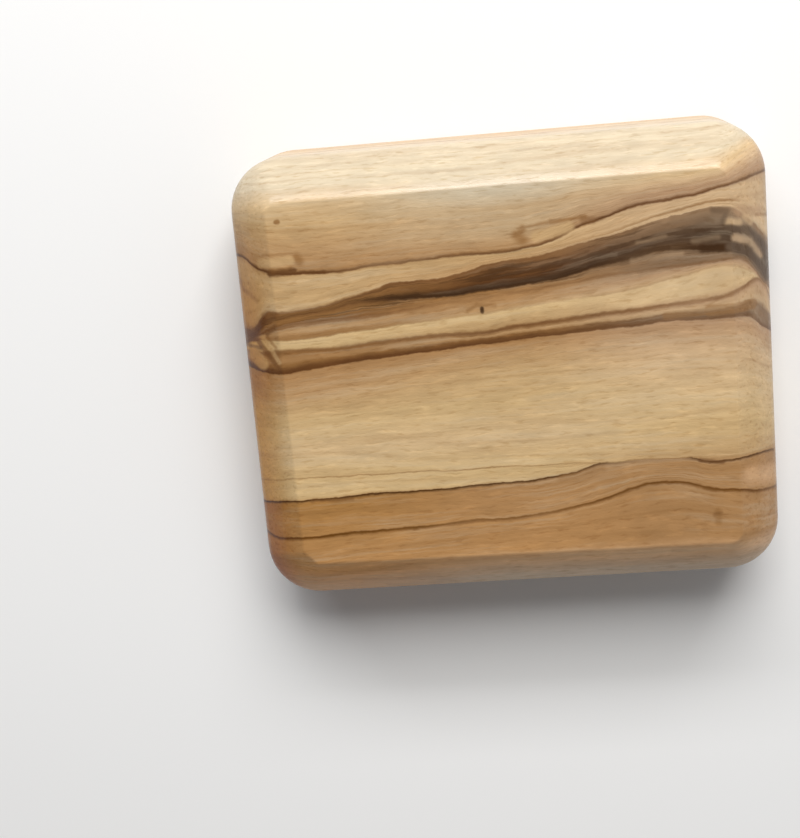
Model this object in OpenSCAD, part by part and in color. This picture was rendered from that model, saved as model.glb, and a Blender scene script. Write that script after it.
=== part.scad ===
// Mezuzah case: a palm-sized olive-wood shell held by magnets over a plate that is screwed to the
// doorpost. A clear tube with the rolled parchment lies in two clips on the plate, under the shell.
// The case lies on its back: +Z comes out of its front, +X runs along its length (up the doorpost).

/* [Shell] */
// Length of the case, up the doorpost
case_l = 90; // [88:1:110]
// Width of the case
case_w = 77.5; // [68:0.5:90]
// Thickness of the case, from the wall to its front face
case_t = 26; // [24:1:32]
// Radius of the four corners, seen from the front
corner_r = 9; // [8:0.5:12]
// Width of the 45 degree bevel round the front face
front_bevel = 6.8; // [4:0.2:7]
// Small chamfer round the back edge
back_ease = 0.8; // [0.4:0.1:1.5]
// Thickness of the rim round the recess in the back
rim_t = 5; // [4:0.5:5]

/* [Back plate] */
// Thickness of the plate
plate_t = 8; // [7.5:0.1:9]
// Air between the plate and the recess that it fills
plate_gap = 0.3; // [0.2:0.1:0.5]
// Depth of the straight groove that the tube lies in
groove_d = 3.4; // [3:0.1:3.6]
// Distance between the two wall screws
screw_spacing = 54; // [52:1:60]
// Diameter of the wall screws' holes
screw_hole_d = 4.5; // [4:0.5:5]
// Diameter of the countersinks for their heads
screw_head_d = 8.6; // [8:0.2:9]

/* [Magnets] */
// Diameter of the eight disc magnets
magnet_d = 8; // [6:1:8]
// Thickness of the magnets
magnet_t = 3; // [2:0.5:3]
// Distance between magnets along the case
magnet_spacing_l = 62; // [56:1:64]
// Distance between magnets across the case
magnet_spacing_w = 46; // [42:1:50]

/* [Scroll and tube] */
// Height of the parchment sheet, which is the length of the roll
parchment_h = 60; // [55:1:61]
// Outer diameter of the rolled parchment
roll_d = 9.6; // [8:0.2:9.8]
// Thickness of the parchment
parchment_t = 0.28; // [0.2:0.02:0.4]
// Distance from one turn of the roll to the next
roll_pitch = 0.5; // [0.45:0.05:0.8]
// Turns in the roll
roll_turns = 2.5; // [2:0.5:3]
// Outer diameter of the tube
tube_d = 12; // [11.6:0.2:12]
// Wall thickness of the tube
tube_wall = 1; // [0.8:0.1:1]
// How far the stopper goes into the tube
stopper_in = 4; // [3:0.5:5]
// Thickness of the stopper's head
stopper_head = 2.5; // [2:0.5:3]

/* [Clips] */
// Width of each spring clip, along the tube
clip_w = 8; // [6:1:9]
// Thickness of the clip's strip
clip_t = 0.6; // [0.5:0.1:0.7]
// Distance between the two clips
clip_spacing = 28; // [26:1:32]

/* [Hidden] */
MAGNETS = 4;
CLIPS = 2;
$fn = 64;
eps = 0.01;   // how far a cutter runs past the face that it opens

// Recess and plate
recess_l = case_l - 2 * rim_t;
recess_w = case_w - 2 * rim_t;
recess_d = plate_t + plate_gap;
recess_r = corner_r - rim_t;
plate_l = recess_l - 2 * plate_gap;
plate_w = recess_w - 2 * plate_gap;
plate_ease = 0.5;
floor_z = plate_t - groove_d;          // the groove's flat floor

// Clip: a strip bent to a flat foot, two legs, and two arms that hug the tube to its widest line
tube_r = tube_d / 2;
tube_fit = 0.1;                        // air between the clip and the tube
arm_r = tube_r + tube_fit;
foot_half = 3;
leg_angle = 40;                        // where the legs meet the arms, below the tube's widest line
lip = 0.4;                             // how far the lips lean out
lip_h = 0.8;
under_tube = 0.8;                      // room under the tube for the clip's screw head
axis_z = floor_z + clip_t + under_tube + tube_r;

// Channel in the shell over the tube
channel_half = arm_r + clip_t + lip + 0.3;
channel_end_gap = 1;                   // from the recess's end to the channel's
channel_l = recess_l - 2 * channel_end_gap;
groove_half = channel_half + 0.1;

// Tube along X, from its closed end
tube_end = 1.2;                        // thickness of the closed end
play = 0.1;                            // each side of the roll, along the tube
tube_l = tube_end + play + parchment_h + play + stopper_in + 1;
tube_x = -channel_l / 2 + 1;
bore_r = tube_r - tube_wall;
plug_r = bore_r - 0.05;
head_r = tube_r - 0.2;
soft = 0.4;                            // chamfer on turned ends

// Screws of the clips
clip_hole_r = 1.1;
clip_shank_r = 1;
clip_head_r = 2;
clip_head_h = 0.65;
clip_shank_l = 3.4;
clip_x = tube_x + (tube_l + stopper_head) / 2;

// Colours
olive = [0.80, 0.62, 0.38];
pale_olive = [0.86, 0.72, 0.49];
nickel = [0.78, 0.78, 0.80];
brass = [0.80, 0.65, 0.32];
clear = [0.85, 0.92, 0.95, 0.4];
cork = [0.72, 0.53, 0.34];
parchment = [0.93, 0.88, 0.74];

// A slab with round corners, a chamfer round its bottom and a 45 degree bevel round its top
module bevelled_slab(l, w, t, r, ease, bevel) {
    module side(half, run)
        linear_extrude(run, center = true)
            polygon([
                [-half + ease, 0], [half - ease, 0], [half, ease], [half, t - bevel],
                [half - bevel, t], [-half + bevel, t], [-half, t - bevel], [-half, ease]
            ]);
    rotate([90, 0, 90]) side(w / 2, l - 2 * r);
    rotate([90, 0, 0]) side(l / 2, w - 2 * r);
    for (x = [-1, 1], y = [-1, 1])
        translate([x * (l / 2 - r), y * (w / 2 - r), 0])
            rotate_extrude()
                polygon([[0, 0], [r - ease, 0], [r, ease], [r, t - bevel], [r - bevel, t], [0, t]]);
}

// A plain block with round corners, standing on z = 0
module rounded_block(l, w, t, r)
    linear_extrude(t) {
        square([l - 2 * r, w], center = true);
        square([l, w - 2 * r], center = true);
        for (x = [-1, 1], y = [-1, 1])
            translate([x * (l / 2 - r), y * (w / 2 - r)]) circle(r);
    }

// Turns a piece that stands along Z so that it runs along +X from the tube's closed end
module along_tube(x)
    translate([tube_x + x, 0, axis_z]) rotate([0, 90, 0]) children();

function magnet_xy(i) = [
    (i % 2 == 1 ? -1 : 1) * magnet_spacing_l / 2,
    (i <= 2 ? -1 : 1) * magnet_spacing_w / 2
];

module at_magnet(i, z)
    translate([magnet_xy(i)[0], magnet_xy(i)[1], z]) children();

module at_clip(i)
    translate([clip_x + (i - 1.5) * clip_spacing, 0, floor_z]) children();

module magnet_disc() {
    chamfer = 0.3;
    r = magnet_d / 2;
    rotate_extrude()
        polygon([
            [0, 0], [r - chamfer, 0], [r, chamfer],
            [r, magnet_t - chamfer], [r - chamfer, magnet_t], [0, magnet_t]
        ]);
}

// The olive-wood block: everything that shows when the case hangs on the doorpost
module front_shell()
    color(olive) difference() {
        bevelled_slab(case_l, case_w, case_t, corner_r, back_ease, front_bevel);
        translate([0, 0, -eps]) rounded_block(recess_l, recess_w, recess_d + eps, recess_r);
        translate([-channel_l / 2, -channel_half, 0])
            cube([channel_l, 2 * channel_half, axis_z]);
        translate([-channel_l / 2, 0, axis_z]) rotate([0, 90, 0])
            cylinder(r = channel_half, h = channel_l);
        for (i = [1:MAGNETS])
            at_magnet(i, recess_d - eps) cylinder(d = magnet_d + 0.1, h = magnet_t + 0.1 + eps);
    }

// The plate that stays on the doorpost, with its groove, magnet pockets and screw holes
module back_plate()
    color(pale_olive) difference() {
        bevelled_slab(plate_l, plate_w, plate_t, recess_r - plate_gap, plate_ease, plate_ease);
        translate([-case_l / 2, -groove_half, floor_z]) cube([case_l, 2 * groove_half, plate_t]);
        for (x = [-1, 1])
            translate([x * screw_spacing / 2, 0, 0]) {
                translate([0, 0, -eps]) cylinder(d = screw_hole_d, h = floor_z + 2 * eps);
                translate([0, 0, floor_z - (screw_head_d - screw_hole_d) / 2])
                    cylinder(
                        d1 = screw_hole_d,
                        d2 = screw_head_d + 2 * eps,
                        h = (screw_head_d - screw_hole_d) / 2 + eps
                    );
            }
        for (i = [1:MAGNETS])
            at_magnet(i, plate_t - magnet_t - 0.1) cylinder(d = magnet_d + 0.1, h = magnet_t + 1);
        for (i = [1:CLIPS])
            at_clip(i) translate([0, 0, -clip_shank_l]) cylinder(r = clip_shank_r, h = plate_t);
    }

module shell_magnet(i)
    color(nickel) at_magnet(i, recess_d) magnet_disc();

module plate_magnet(i)
    color(nickel) at_magnet(i, plate_t - magnet_t) magnet_disc();

// A spring clip for the tube: its arms end at the tube's widest line, so the tube lifts straight out
module tube_clip(i) {
    rise = axis_z - floor_z;
    out = arm_r + clip_t;
    inner_joint = [arm_r * cos(leg_angle), rise - arm_r * sin(leg_angle)];
    outer_joint = [out * cos(leg_angle), rise - out * sin(leg_angle)];
    color(brass) at_clip(i) difference() {
        translate([-clip_w / 2, 0, 0]) rotate([90, 0, 90]) linear_extrude(clip_w) {
            translate([-foot_half, 0]) square([2 * foot_half, clip_t]);
            for (side = [0, 1]) mirror([side, 0]) {
                polygon([
                    [foot_half - clip_t, 0], [foot_half, 0], outer_joint, inner_joint,
                    [foot_half - clip_t, clip_t]
                ]);
                intersection() {
                    translate([0, rise]) difference() {
                        circle(out);
                        circle(arm_r);
                    }
                    polygon([
                        [0, rise], [2 * out, rise],
                        [2 * out, rise - 2 * out * tan(leg_angle)]
                    ]);
                }
                polygon([
                    [arm_r, rise], [out, rise],
                    [out + lip, rise + lip_h], [arm_r + lip, rise + lip_h]
                ]);
            }
        }
        translate([0, 0, -eps]) cylinder(r = clip_hole_r, h = clip_t + 2 * eps);
    }
}

module clip_screw(i)
    color(brass) at_clip(i) {
        translate([0, 0, clip_t - clip_shank_l]) cylinder(r = clip_shank_r - 0.02, h = clip_shank_l);
        translate([0, 0, clip_t]) cylinder(r1 = clip_head_r, r2 = clip_head_r - 0.4, h = clip_head_h);
    }

// Clear tube, closed at its lower end
module scroll_tube()
    color(clear) along_tube(0) difference() {
        rotate_extrude()
            polygon([[0, 0], [tube_r - soft, 0], [tube_r, soft], [tube_r, tube_l], [0, tube_l]]);
        translate([0, 0, tube_end]) cylinder(r = bore_r, h = tube_l);
    }

// Stopper pushed into the tube's open end
module tube_stopper()
    color(cork) along_tube(tube_l) rotate_extrude()
        polygon([
            [0, -stopper_in], [plug_r - soft, -stopper_in], [plug_r, -stopper_in + soft],
            [plug_r, 0.02], [head_r, 0.02], [head_r, stopper_head - soft],
            [head_r - soft, stopper_head], [0, stopper_head]
        ]);

// Parchment rolled up with its writing inside, blank here
module parchment_scroll() {
    step = 15;
    function spiral(a, depth) =
        (roll_d / 2 - roll_pitch * a / 360 - depth) * [cos(a), sin(a)];
    turns_deg = 360 * roll_turns;
    color(parchment) along_tube(tube_end + play) linear_extrude(parchment_h)
        polygon([
            for (a = [0:step:turns_deg]) spiral(a, 0),
            for (a = [turns_deg:-step:0]) spiral(a, parchment_t)
        ]);
}

front_shell();
for (i = [1:MAGNETS])
    shell_magnet(i);
back_plate();
for (i = [1:MAGNETS])
    plate_magnet(i);
for (i = [1:CLIPS])
    tube_clip(i);
for (i = [1:CLIPS])
    clip_screw(i);
scroll_tube();
tube_stopper();
parchment_scroll();
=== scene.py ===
# %% [markdown]
# # An olive-wood mezuzah case
#
# The case is a palm-sized block of olive wood with a broad bevel round its front. It hides a plate
# that is screwed to the doorpost, and magnets hold it there. Between them a clear tube keeps the
# rolled parchment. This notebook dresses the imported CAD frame: it rebuilds each piece with the soft
# edges that sanding, turning and bending leave, and gives every piece a procedural finish.
#
# Everything is in metres, in the frame's own axes: +Z out of the front face, +X along the case.
# Sizes are easier to read in millimetres, so they are written as a number times MM.

# %% Load the frame
import math

import bmesh
import bpy
from mathutils import Matrix, Vector


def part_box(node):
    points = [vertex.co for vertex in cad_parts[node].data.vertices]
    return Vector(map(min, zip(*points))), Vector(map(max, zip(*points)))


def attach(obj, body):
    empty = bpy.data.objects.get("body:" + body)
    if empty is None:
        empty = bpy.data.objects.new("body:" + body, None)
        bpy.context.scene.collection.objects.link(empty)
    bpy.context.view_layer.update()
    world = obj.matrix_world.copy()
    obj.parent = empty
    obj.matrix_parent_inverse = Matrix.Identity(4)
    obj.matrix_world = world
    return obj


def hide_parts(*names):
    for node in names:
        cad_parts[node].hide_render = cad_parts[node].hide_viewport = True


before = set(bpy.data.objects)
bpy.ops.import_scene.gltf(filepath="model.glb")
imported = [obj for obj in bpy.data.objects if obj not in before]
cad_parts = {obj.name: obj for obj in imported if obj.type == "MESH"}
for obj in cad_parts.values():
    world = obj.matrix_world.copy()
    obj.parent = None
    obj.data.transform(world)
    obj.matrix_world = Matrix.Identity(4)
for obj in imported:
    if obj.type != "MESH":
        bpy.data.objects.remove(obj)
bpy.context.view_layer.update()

MM = 0.001
FRONT_BEVEL = 6.8 * MM     # how far the bevel goes in over the front, and as far down the sides
OVERCUT = 1 * MM           # how far a cutter goes on past the face that it opens
NEAR = 0.01 * MM           # levels that lie closer than this count as one
case_low, case_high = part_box("front_shell")
case_size = case_high - case_low
print("case, mm:", [round(side / MM, 1) for side in case_size])

# %% [markdown]
# ## The camera
#
# The case lies on its back and the camera looks down on the front face, a little from the side
# of the lower long side. Somebody holding a camera in one hand stands close, tips it back, swings
# it and lets the horizon lean. The same three turns are kept here as named angles, so that each
# can be changed by itself. The face's centre sits a little right of and above the view's axis, so
# the camera itself is moved sideways: a lens shift would leave the bevels looking too even.

# %% Place the camera
face_centre = Vector((0, 0, case_high.z))
camera_distance = 271 * MM
camera_aside = 17.85 * MM      # how far the face's centre lies to the right of the view's axis
camera_below = 7.33 * MM       # and how far above it
camera_tip, camera_swing, camera_lean = (math.radians(a) for a in (13.1, -5.9, 5.2))
LENS, SENSOR = 69.3, 36        # what cameras give in millimetres whatever the scene's unit

camera_turn = (
    Matrix.Rotation(-camera_swing, 3, "Y")
    @ Matrix.Rotation(-camera_tip, 3, "X")
    @ Matrix.Rotation(-camera_lean, 3, "Z")
)
camera_data = bpy.data.cameras.new("camera")
camera_data.lens = LENS
camera_data.sensor_width = SENSOR
camera_data.clip_start = 10 * MM
camera = bpy.data.objects.new("camera", camera_data)
bpy.context.scene.collection.objects.link(camera)
camera_place = face_centre + camera_turn @ Vector((-camera_aside, -camera_below, camera_distance))
camera.matrix_world = Matrix.Translation(camera_place) @ camera_turn.to_4x4()
bpy.context.scene.camera = camera
print("camera at, mm:", [round(c / MM) for c in camera_place])

# %% [markdown]
# ## Small helpers for node trees
#
# A material is a graph, and a graph is easier to read when each line makes one node and says what
# feeds it. `shader_node` makes a node, sets its plain settings and then its sockets: a socket of
# another node is linked, and anything else becomes the socket's own value. `calc` is the one-line
# form for arithmetic, and `tone` turns the colour numbers of a paint chart into linear light.
# `calc` clamps with two more nodes, not with the Math node's own switch, because a very large tree
# of clamped Math nodes asks the renderer to remember more values than it has room for.


# %% Node helpers
def feed(tree, node, sockets):
    """Sets a node's sockets; sockets maps a name or index to a value or to another node's socket."""
    for key, value in sockets.items():
        if isinstance(value, bpy.types.NodeSocket):
            tree.links.new(value, node.inputs[key])
        else:
            node.inputs[key].default_value = value
    return node


def shader_node(tree, kind, sockets=None, **settings):
    """Makes a shader node, gives it its settings and feeds its sockets."""
    made = tree.nodes.new("ShaderNode" + kind)
    for name, value in settings.items():
        setattr(made, name, value)
    return feed(tree, made, sockets or {})


def calc(tree, operation, a, b=0.0, c=0.0, clamp=False):
    """The result of one Math node, held between 0 and 1 if clamp."""
    result = shader_node(tree, "Math", {0: a, 1: b, 2: c}, operation=operation).outputs[0]
    if clamp:
        result = calc(tree, "MINIMUM", calc(tree, "MAXIMUM", result, 0.0), 1.0)
    return result


def blend_colour(tree, factor, under, over, mode="MIX"):
    """under mixed with over by a factor."""
    made = shader_node(
        tree,
        "Mix",
        {"Factor": factor, 6: under, 7: over},
        data_type="RGBA",
        blend_type=mode,
    )
    return made.outputs[2]


def ease_between(tree, value, start, end):
    """0 at start, 1 at end, and smooth between."""
    made = shader_node(
        tree,
        "MapRange",
        {"Value": value, 1: start, 2: end},
        interpolation_type="SMOOTHSTEP",
    )
    return made.outputs[0]


def tone(red, green, blue):
    """A colour from 0-255 chart numbers, in linear light."""
    linear = [
        c / 12.92 if c <= 0.04045 else ((c + 0.055) / 1.055) ** 2.4
        for c in (red / 255, green / 255, blue / 255)
    ]
    return (*linear, 1.0)


def new_group(name, takes, gives):
    """An empty node group; takes and gives map socket names to Float, Vector or Color."""
    tree = bpy.data.node_groups.new(name, "ShaderNodeTree")
    for direction, sockets in (("INPUT", takes), ("OUTPUT", gives)):
        for socket, kind in sockets.items():
            tree.interface.new_socket(socket, in_out=direction, socket_type="NodeSocket" + kind)
    return tree, tree.nodes.new("NodeGroupInput").outputs, tree.nodes.new("NodeGroupOutput").inputs


def use_group(tree, group, sockets):
    """A node that runs a group inside another tree."""
    return shader_node(tree, "Group", sockets, node_tree=group)


def multiplied(tree, point, factors):
    """A point with each of its three numbers multiplied by its own factor."""
    made = shader_node(tree, "VectorMath", {0: point, 1: factors}, operation="MULTIPLY")
    return made.outputs[0]


def noise(tree, point, scale=1.0, **settings):
    """The value of a Noise Texture at a point."""
    names = {name.capitalize(): value for name, value in settings.items()}
    return shader_node(tree, "TexNoise", {"Vector": point, "Scale": scale, **names}).outputs[0]


def bumped(tree, height, strength, distance):
    """A normal that follows a height."""
    made = shader_node(
        tree, "Bump", {"Height": height, "Strength": strength, "Distance": distance}
    )
    return made.outputs[0]


def new_material(name):
    """A material, its node tree and its Principled BSDF."""
    material = bpy.data.materials.new(name)
    material.use_nodes = True
    return material, material.node_tree, material.node_tree.nodes["Principled BSDF"]


def in_millimetres(tree, shift=(0, 0, 0), turn=0.0):
    """The object's own coordinates in mm, moved and turned about Z."""
    place = shader_node(tree, "TexCoord")
    made = shader_node(
        tree,
        "Mapping",
        {"Vector": place.outputs["Object"], "Location": shift, "Rotation": (0, 0, turn),
         "Scale": (1 / MM, 1 / MM, 1 / MM)},
    )
    return made.outputs[0]


print("chart grey 188 in linear light:", round(tone(188, 188, 188)[0], 3))

# %% [markdown]
# ## The studio
#
# Gloss is only visible where it has something to reflect, so the light is made of two large soft
# panels and a tent. The key panel hangs beyond the upper long side. The second, long and narrow,
# stands lower on the same side, and draws the bright strip where the bevel turns into the face.
# The opposite side has no panel, so the lower bevel falls into shade, as it does in a hand.
# The tent is a Color Ramp on the World's height: bright in a band, dim overhead, because a
# bright ceiling would lie as a grey veil on the dark veins of the face. It is dimmer on the left,
# so that the bevel at that end is in shade.

# %% Build the studio
bpy.context.scene.view_settings.view_transform = "Standard"
DIM, FULL = 0.3, 1.0        # the tent's strength at the left and at the right


def panel(name, place, size, power, colour, aim=(0, 0, 20 * MM)):
    """A soft rectangular light at a place, turned towards the case."""
    data = bpy.data.lights.new(name, "AREA")
    data.shape = "RECTANGLE"
    data.size, data.size_y = size
    data.energy = power
    data.color = colour
    light = bpy.data.objects.new(name, data)
    light.location = place
    light.rotation_euler = (Vector(aim) - Vector(place)).to_track_quat("-Z", "Y").to_euler()
    bpy.context.scene.collection.objects.link(light)


panel("key_panel", (0.12, 0.56, 0.68), (0.5, 0.4), 6.1, (1.0, 0.985, 0.955))
panel("bevel_panel", (-0.02, 0.69, 0.49), (0.9, 0.16), 4.4, (1.0, 1.0, 1.0))

surround = bpy.data.worlds.new("surround")
bpy.context.scene.world = surround
surround.use_nodes = True
sky = surround.node_tree
backdrop = sky.nodes["Background"]
sky_way = shader_node(sky, "TexCoord")
sky_axes = shader_node(sky, "SeparateXYZ", {0: sky_way.outputs["Generated"]})
tent = shader_node(sky, "ValToRGB", {0: sky_axes.outputs[2]})
tent_stops = tent.color_ramp.elements
tent_stops[0].position, tent_stops[0].color = 0.05, (0.14, 0.145, 0.15, 1)
tent_stops[1].position, tent_stops[1].color = 0.92, (0.05, 0.05, 0.052, 1)
for height, grey in ((0.25, 0.42), (0.6, 0.42)):
    stop = tent_stops.new(height)
    stop.color = (grey, grey * 1.01, grey * 1.03, 1)
bright_side = ease_between(sky, sky_axes.outputs[0], -0.85, 0.1)
strength = calc(sky, "MULTIPLY_ADD", bright_side, FULL - DIM, DIM)
feed(sky, backdrop, {"Color": tent.outputs[0], "Strength": strength})

# %% [markdown]
# ## The growth lines of the olive wood
#
# Olive wood is cream and tan, crossed by dark lines where the tree laid down one year on the last.
# They run roughly along the block but never in parallel: they swell, pinch, and close round knots.
# Noise alone can't draw a line that a person would recognise, so the main lines are drawn, each
# as a few points in millimetres: distance along the case, then height across its face. The
# first, the crown, lies beyond the face's upper edge and shows on the long side only.
# Between two lines the wood is stretched evenly, like cloth between two threads. That gives every
# point a "height" that follows the lines, and every band, streak and fleck is laid out on it.
#
# A Float Curve node holds a line well: it takes the distance along the case and returns the height.

# %% Draw the growth lines
# name: (level of the straightened line, points along it), from the top of the face down
GROWTH = {
    "crown": (40.3, [(-45, 39.9), (-20, 40.5), (0, 40.2), (25, 40.8), (45, 40.1)]),
    "cream_edge": (31, [
        (-45, 31), (-20, 31.2), (0, 31), (20, 31), (36, 31.6), (40, 33.6), (45, 36),
    ]),
    "upper": (20.5, [
        (-45, 23), (-43, 22.7), (-41, 21.2), (-38, 20.3), (-34, 19.8), (-28, 19.7), (-20, 20.2),
        (-10, 20.7), (0, 20.8), (6, 21.3), (10, 22.5), (14, 24.2), (18, 25.1), (21, 26.2),
        (25, 26.9), (31, 27.5), (38, 28.8), (45, 30.2),
    ]),
    "sliver": (17.5, [
        (-45, 17), (-38, 16.6), (-30, 17), (-20, 18), (-10, 18.6), (0, 19.9), (8, 20.7),
        (15, 21.9), (20, 23), (25, 24.4), (30, 25.4), (36, 26.4), (40, 26.1), (43, 24.4), (45, 23.2),
    ]),
    "dark_top": (14.5, [
        (-45, 9.9), (-42.4, 10.6), (-40.6, 12.6), (-39, 13.6), (-36, 13.3), (-30, 14), (-25, 15),
        (-21, 15.9), (-18, 16.9), (-12, 17), (-8, 17.4), (-4, 18.3), (0, 19), (6, 19.5), (12, 20.8),
        (20, 22.4), (26, 23.8), (31, 24.8), (35, 25.3), (38, 25.1), (40, 23.8), (42, 22), (45, 18.4),
    ]),
    "dark_core": (12.8, [
        (-45, 9.3), (-42, 10), (-40, 11.6), (-37, 12.4), (-30, 13.2), (-24, 14.2), (-19, 14.3),
        (-10, 14.2), (-4, 14.8), (3, 15.3), (10, 16), (16, 17.2), (22, 18.3), (28, 19.1),
        (34, 18.8), (38, 18.5), (41, 17), (43, 14.6), (45, 12.2),
    ]),
    "dark_foot": (11, [
        (-45, 8.7), (-42, 9.3), (-40, 10.2), (-37, 10.9), (-30, 11.4), (-20, 12), (-10, 12.9),
        (2, 13.8), (10, 14.8), (18, 15.6), (26, 16.1), (34, 16.5), (39, 16.8), (41, 15.8),
        (43, 12.8), (45, 10.4),
    ]),
    "cream_top": (9, [
        (-45, 7.6), (-41, 8.8), (-37, 8.7), (-30, 9), (-20, 9.7), (-10, 10.4), (0, 11.1),
        (10, 11.9), (20, 12.8), (30, 14.6), (37, 15.8), (40, 15), (42, 13.6), (45, 9.4),
    ]),
    "cream_foot": (7, [
        (-45, 6.2), (-41, 6.4), (-37, 6.8), (-28, 6.7), (-20, 7.3), (-10, 7.6), (-4, 7.5),
        (2, 8.2), (10, 8.9), (20, 9.5), (30, 10.1), (37, 10.9), (40, 11.9), (42, 12.8),
        (43.5, 12), (45, 8.4),
    ]),
    "middle": (4.5, [
        (-45, 3.9), (-42, 3.1), (-38, 2.9), (-34, 3.4), (-28, 4), (-20, 4.7), (-10, 5.3),
        (0, 5.9), (10, 6.4), (20, 6.9), (30, 7.3), (38, 7.2), (41, 6.6), (43, 4.8), (45, 3),
    ]),
    "hairline": (-15.8, [
        (-45, -17), (-41, -16.2), (-37, -15.6), (-20, -15.8), (0, -15.9), (14, -16.1),
        (30, -16.2), (45, -16.6),
    ]),
    "lower": (-19, [
        (-45, -21), (-42, -20.4), (-38, -19.7), (-33, -19.6), (-28, -19.3), (-15, -19.1),
        (0, -18.6), (6, -18.3), (10, -17.7), (12.5, -16.9), (15, -16.3), (24, -16.3),
        (30, -16.4), (33, -17.2), (36, -17.2), (39, -17), (42, -17), (45, -17.4),
    ]),
    "amber": (-25.5, [
        (-45, -26.5), (-43, -26.9), (-38, -26.4), (-30, -26), (-20, -25.7), (-10, -25.2),
        (0, -24.8), (6, -24.3), (11, -23.5), (16, -22.2), (20, -20.9), (23, -20.3), (26, -20.3),
        (30, -21), (33, -21.8), (38, -22.5), (41, -23.3), (45, -24.1),
    ]),
    "foot": (-28.5, [
        (-45, -30.6), (-30, -29.4), (-15, -28.4), (0, -27.6), (10, -27), (18, -25.9),
        (26, -25.4), (34, -26.4), (40, -27.7), (45, -28.8),
    ]),
    "sill": (-32, [(-45, -32.2), (0, -32), (45, -31.8)]),
}
FAR = 60            # beyond the block, above and below: the last lines lie level there
CURVE_HALF = 46     # a curve covers the case from -46 mm to 46 mm along
LEAN = 0.22         # how far the lines drift across for each millimetre of depth down the sides
CLOSEST = 0.05      # two lines never come nearer to each other than this
WAVER = 0.7         # how far a line wanders in all, slowly
TREMBLE = 0.34      # and how far it trembles, quickly
bevel_foot = (case_high.z - FRONT_BEVEL) / MM


def curve_along(tree, curve_place, points, handles=None):
    """A Float Curve through points of (mm along the case, value from 0 to 1)."""
    curve = shader_node(tree, "FloatCurve", {"Value": curve_place})
    knots = curve.mapping.curves[0].points
    placed = [((x + CURVE_HALF) / (2 * CURVE_HALF), y) for x, y in points]
    knots[0].location, knots[-1].location = placed[0], placed[-1]
    for x, y in placed[1:-1]:
        knots.new(x, y)
    if handles:
        for knot in knots:
            knot.handle_type = handles
    curve.mapping.update()
    return curve.outputs[0]


def place_on_curve(tree, along_case):
    """A distance along the case as the 0 to 1 that a curve takes."""
    return calc(tree, "MULTIPLY_ADD", along_case, 0.5 / CURVE_HALF, 0.5)


def drawn_line(tree, curve_place, points):
    """The height in mm of a drawn line."""
    shares = [(x, (y + FAR) / (2 * FAR)) for x, y in points]
    line = curve_along(tree, curve_place, shares, "AUTO_CLAMPED")
    return calc(tree, "MULTIPLY_ADD", line, 2 * FAR, -FAR)


def growth_lines():
    """Vector in mm to the straightened Height, the lines' Drift and the distance above each line."""
    names = {name: "Float" for name in GROWTH}
    tree, given, out = new_group(
        "growth_lines", {"Vector": "Vector"}, {"Height": "Float", "Drift": "Float", **names}
    )
    place = shader_node(tree, "SeparateXYZ", {0: given["Vector"]})
    depth = calc(tree, "MAXIMUM", calc(tree, "SUBTRACT", bevel_foot, place.outputs[2]), 0.0)
    slow = noise(tree, multiplied(tree, given["Vector"], (0.16, 0.3, 0.12)), detail=2.0)
    quick = noise(tree, multiplied(tree, given["Vector"], (0.9, 1.4, 0.6)), detail=2.0)
    drift = calc(tree, "MULTIPLY_ADD", slow, WAVER, -WAVER / 2)
    drift = calc(tree, "ADD", drift, calc(tree, "MULTIPLY_ADD", quick, TREMBLE, -TREMBLE / 2))
    across = calc(tree, "ADD", place.outputs[1], drift)
    across = calc(tree, "MULTIPLY_ADD", depth, LEAN, across)
    curve_place = place_on_curve(tree, place.outputs[0])
    upper_line, upper_level = FAR, FAR
    height = -float(FAR)
    stack = [(name, *line) for name, line in GROWTH.items()] + [("end", -FAR, None)]
    for name, level, points in stack:
        line = drawn_line(tree, curve_place, points) if points else -FAR
        room = calc(tree, "MAXIMUM", calc(tree, "SUBTRACT", upper_line, line), CLOSEST)
        share = calc(tree, "DIVIDE", calc(tree, "SUBTRACT", across, line), room, clamp=True)
        height = calc(tree, "MULTIPLY_ADD", share, upper_level - level, height)
        if points:
            tree.links.new(calc(tree, "SUBTRACT", across, line), out[name])
        upper_line, upper_level = line, level
    tree.links.new(height, out["Height"])
    tree.links.new(drift, out["Drift"])
    return tree


GROWTH_GROUP = growth_lines()
print("growth lines:", len(GROWTH), "nodes:", len(GROWTH_GROUP.nodes))

# %% [markdown]
# ## Veins, strokes and grain
#
# Three small groups do the drawing. `vein` darkens one side of a growth line: real ones have a
# hard edge where growth stopped and fade away on the other side. `stroke` is a dab of colour from
# one point to another with a soft edge, which is enough for knots, eyes and the dark streams at
# the end of the block. `grain` makes the streaks and the short flecks. Its noise is stretched
# along the case, so that the long faces show dashes and the end faces show the dots that sawn-off
# fibres leave, with no special case for either.


# %% Vein, stroke and grain groups
def vein_group():
    """Distance above a line to a mask that is 1 on it and fades by its two reaches in mm."""
    tree, given, out = new_group(
        "vein",
        {"Distance": "Float", "Above": "Float", "Below": "Float", "Strength": "Float"},
        {"Mask": "Float"},
    )
    over = calc(tree, "DIVIDE", given["Distance"], given["Above"])
    under = calc(tree, "DIVIDE", calc(tree, "MULTIPLY", given["Distance"], -1.0), given["Below"])
    spread = calc(tree, "MAXIMUM", over, under)
    mask = calc(tree, "SUBTRACT", 1.0, ease_between(tree, spread, 0.0, 1.0))
    tree.links.new(calc(tree, "MULTIPLY", mask, given["Strength"]), out["Mask"])
    return tree


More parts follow.
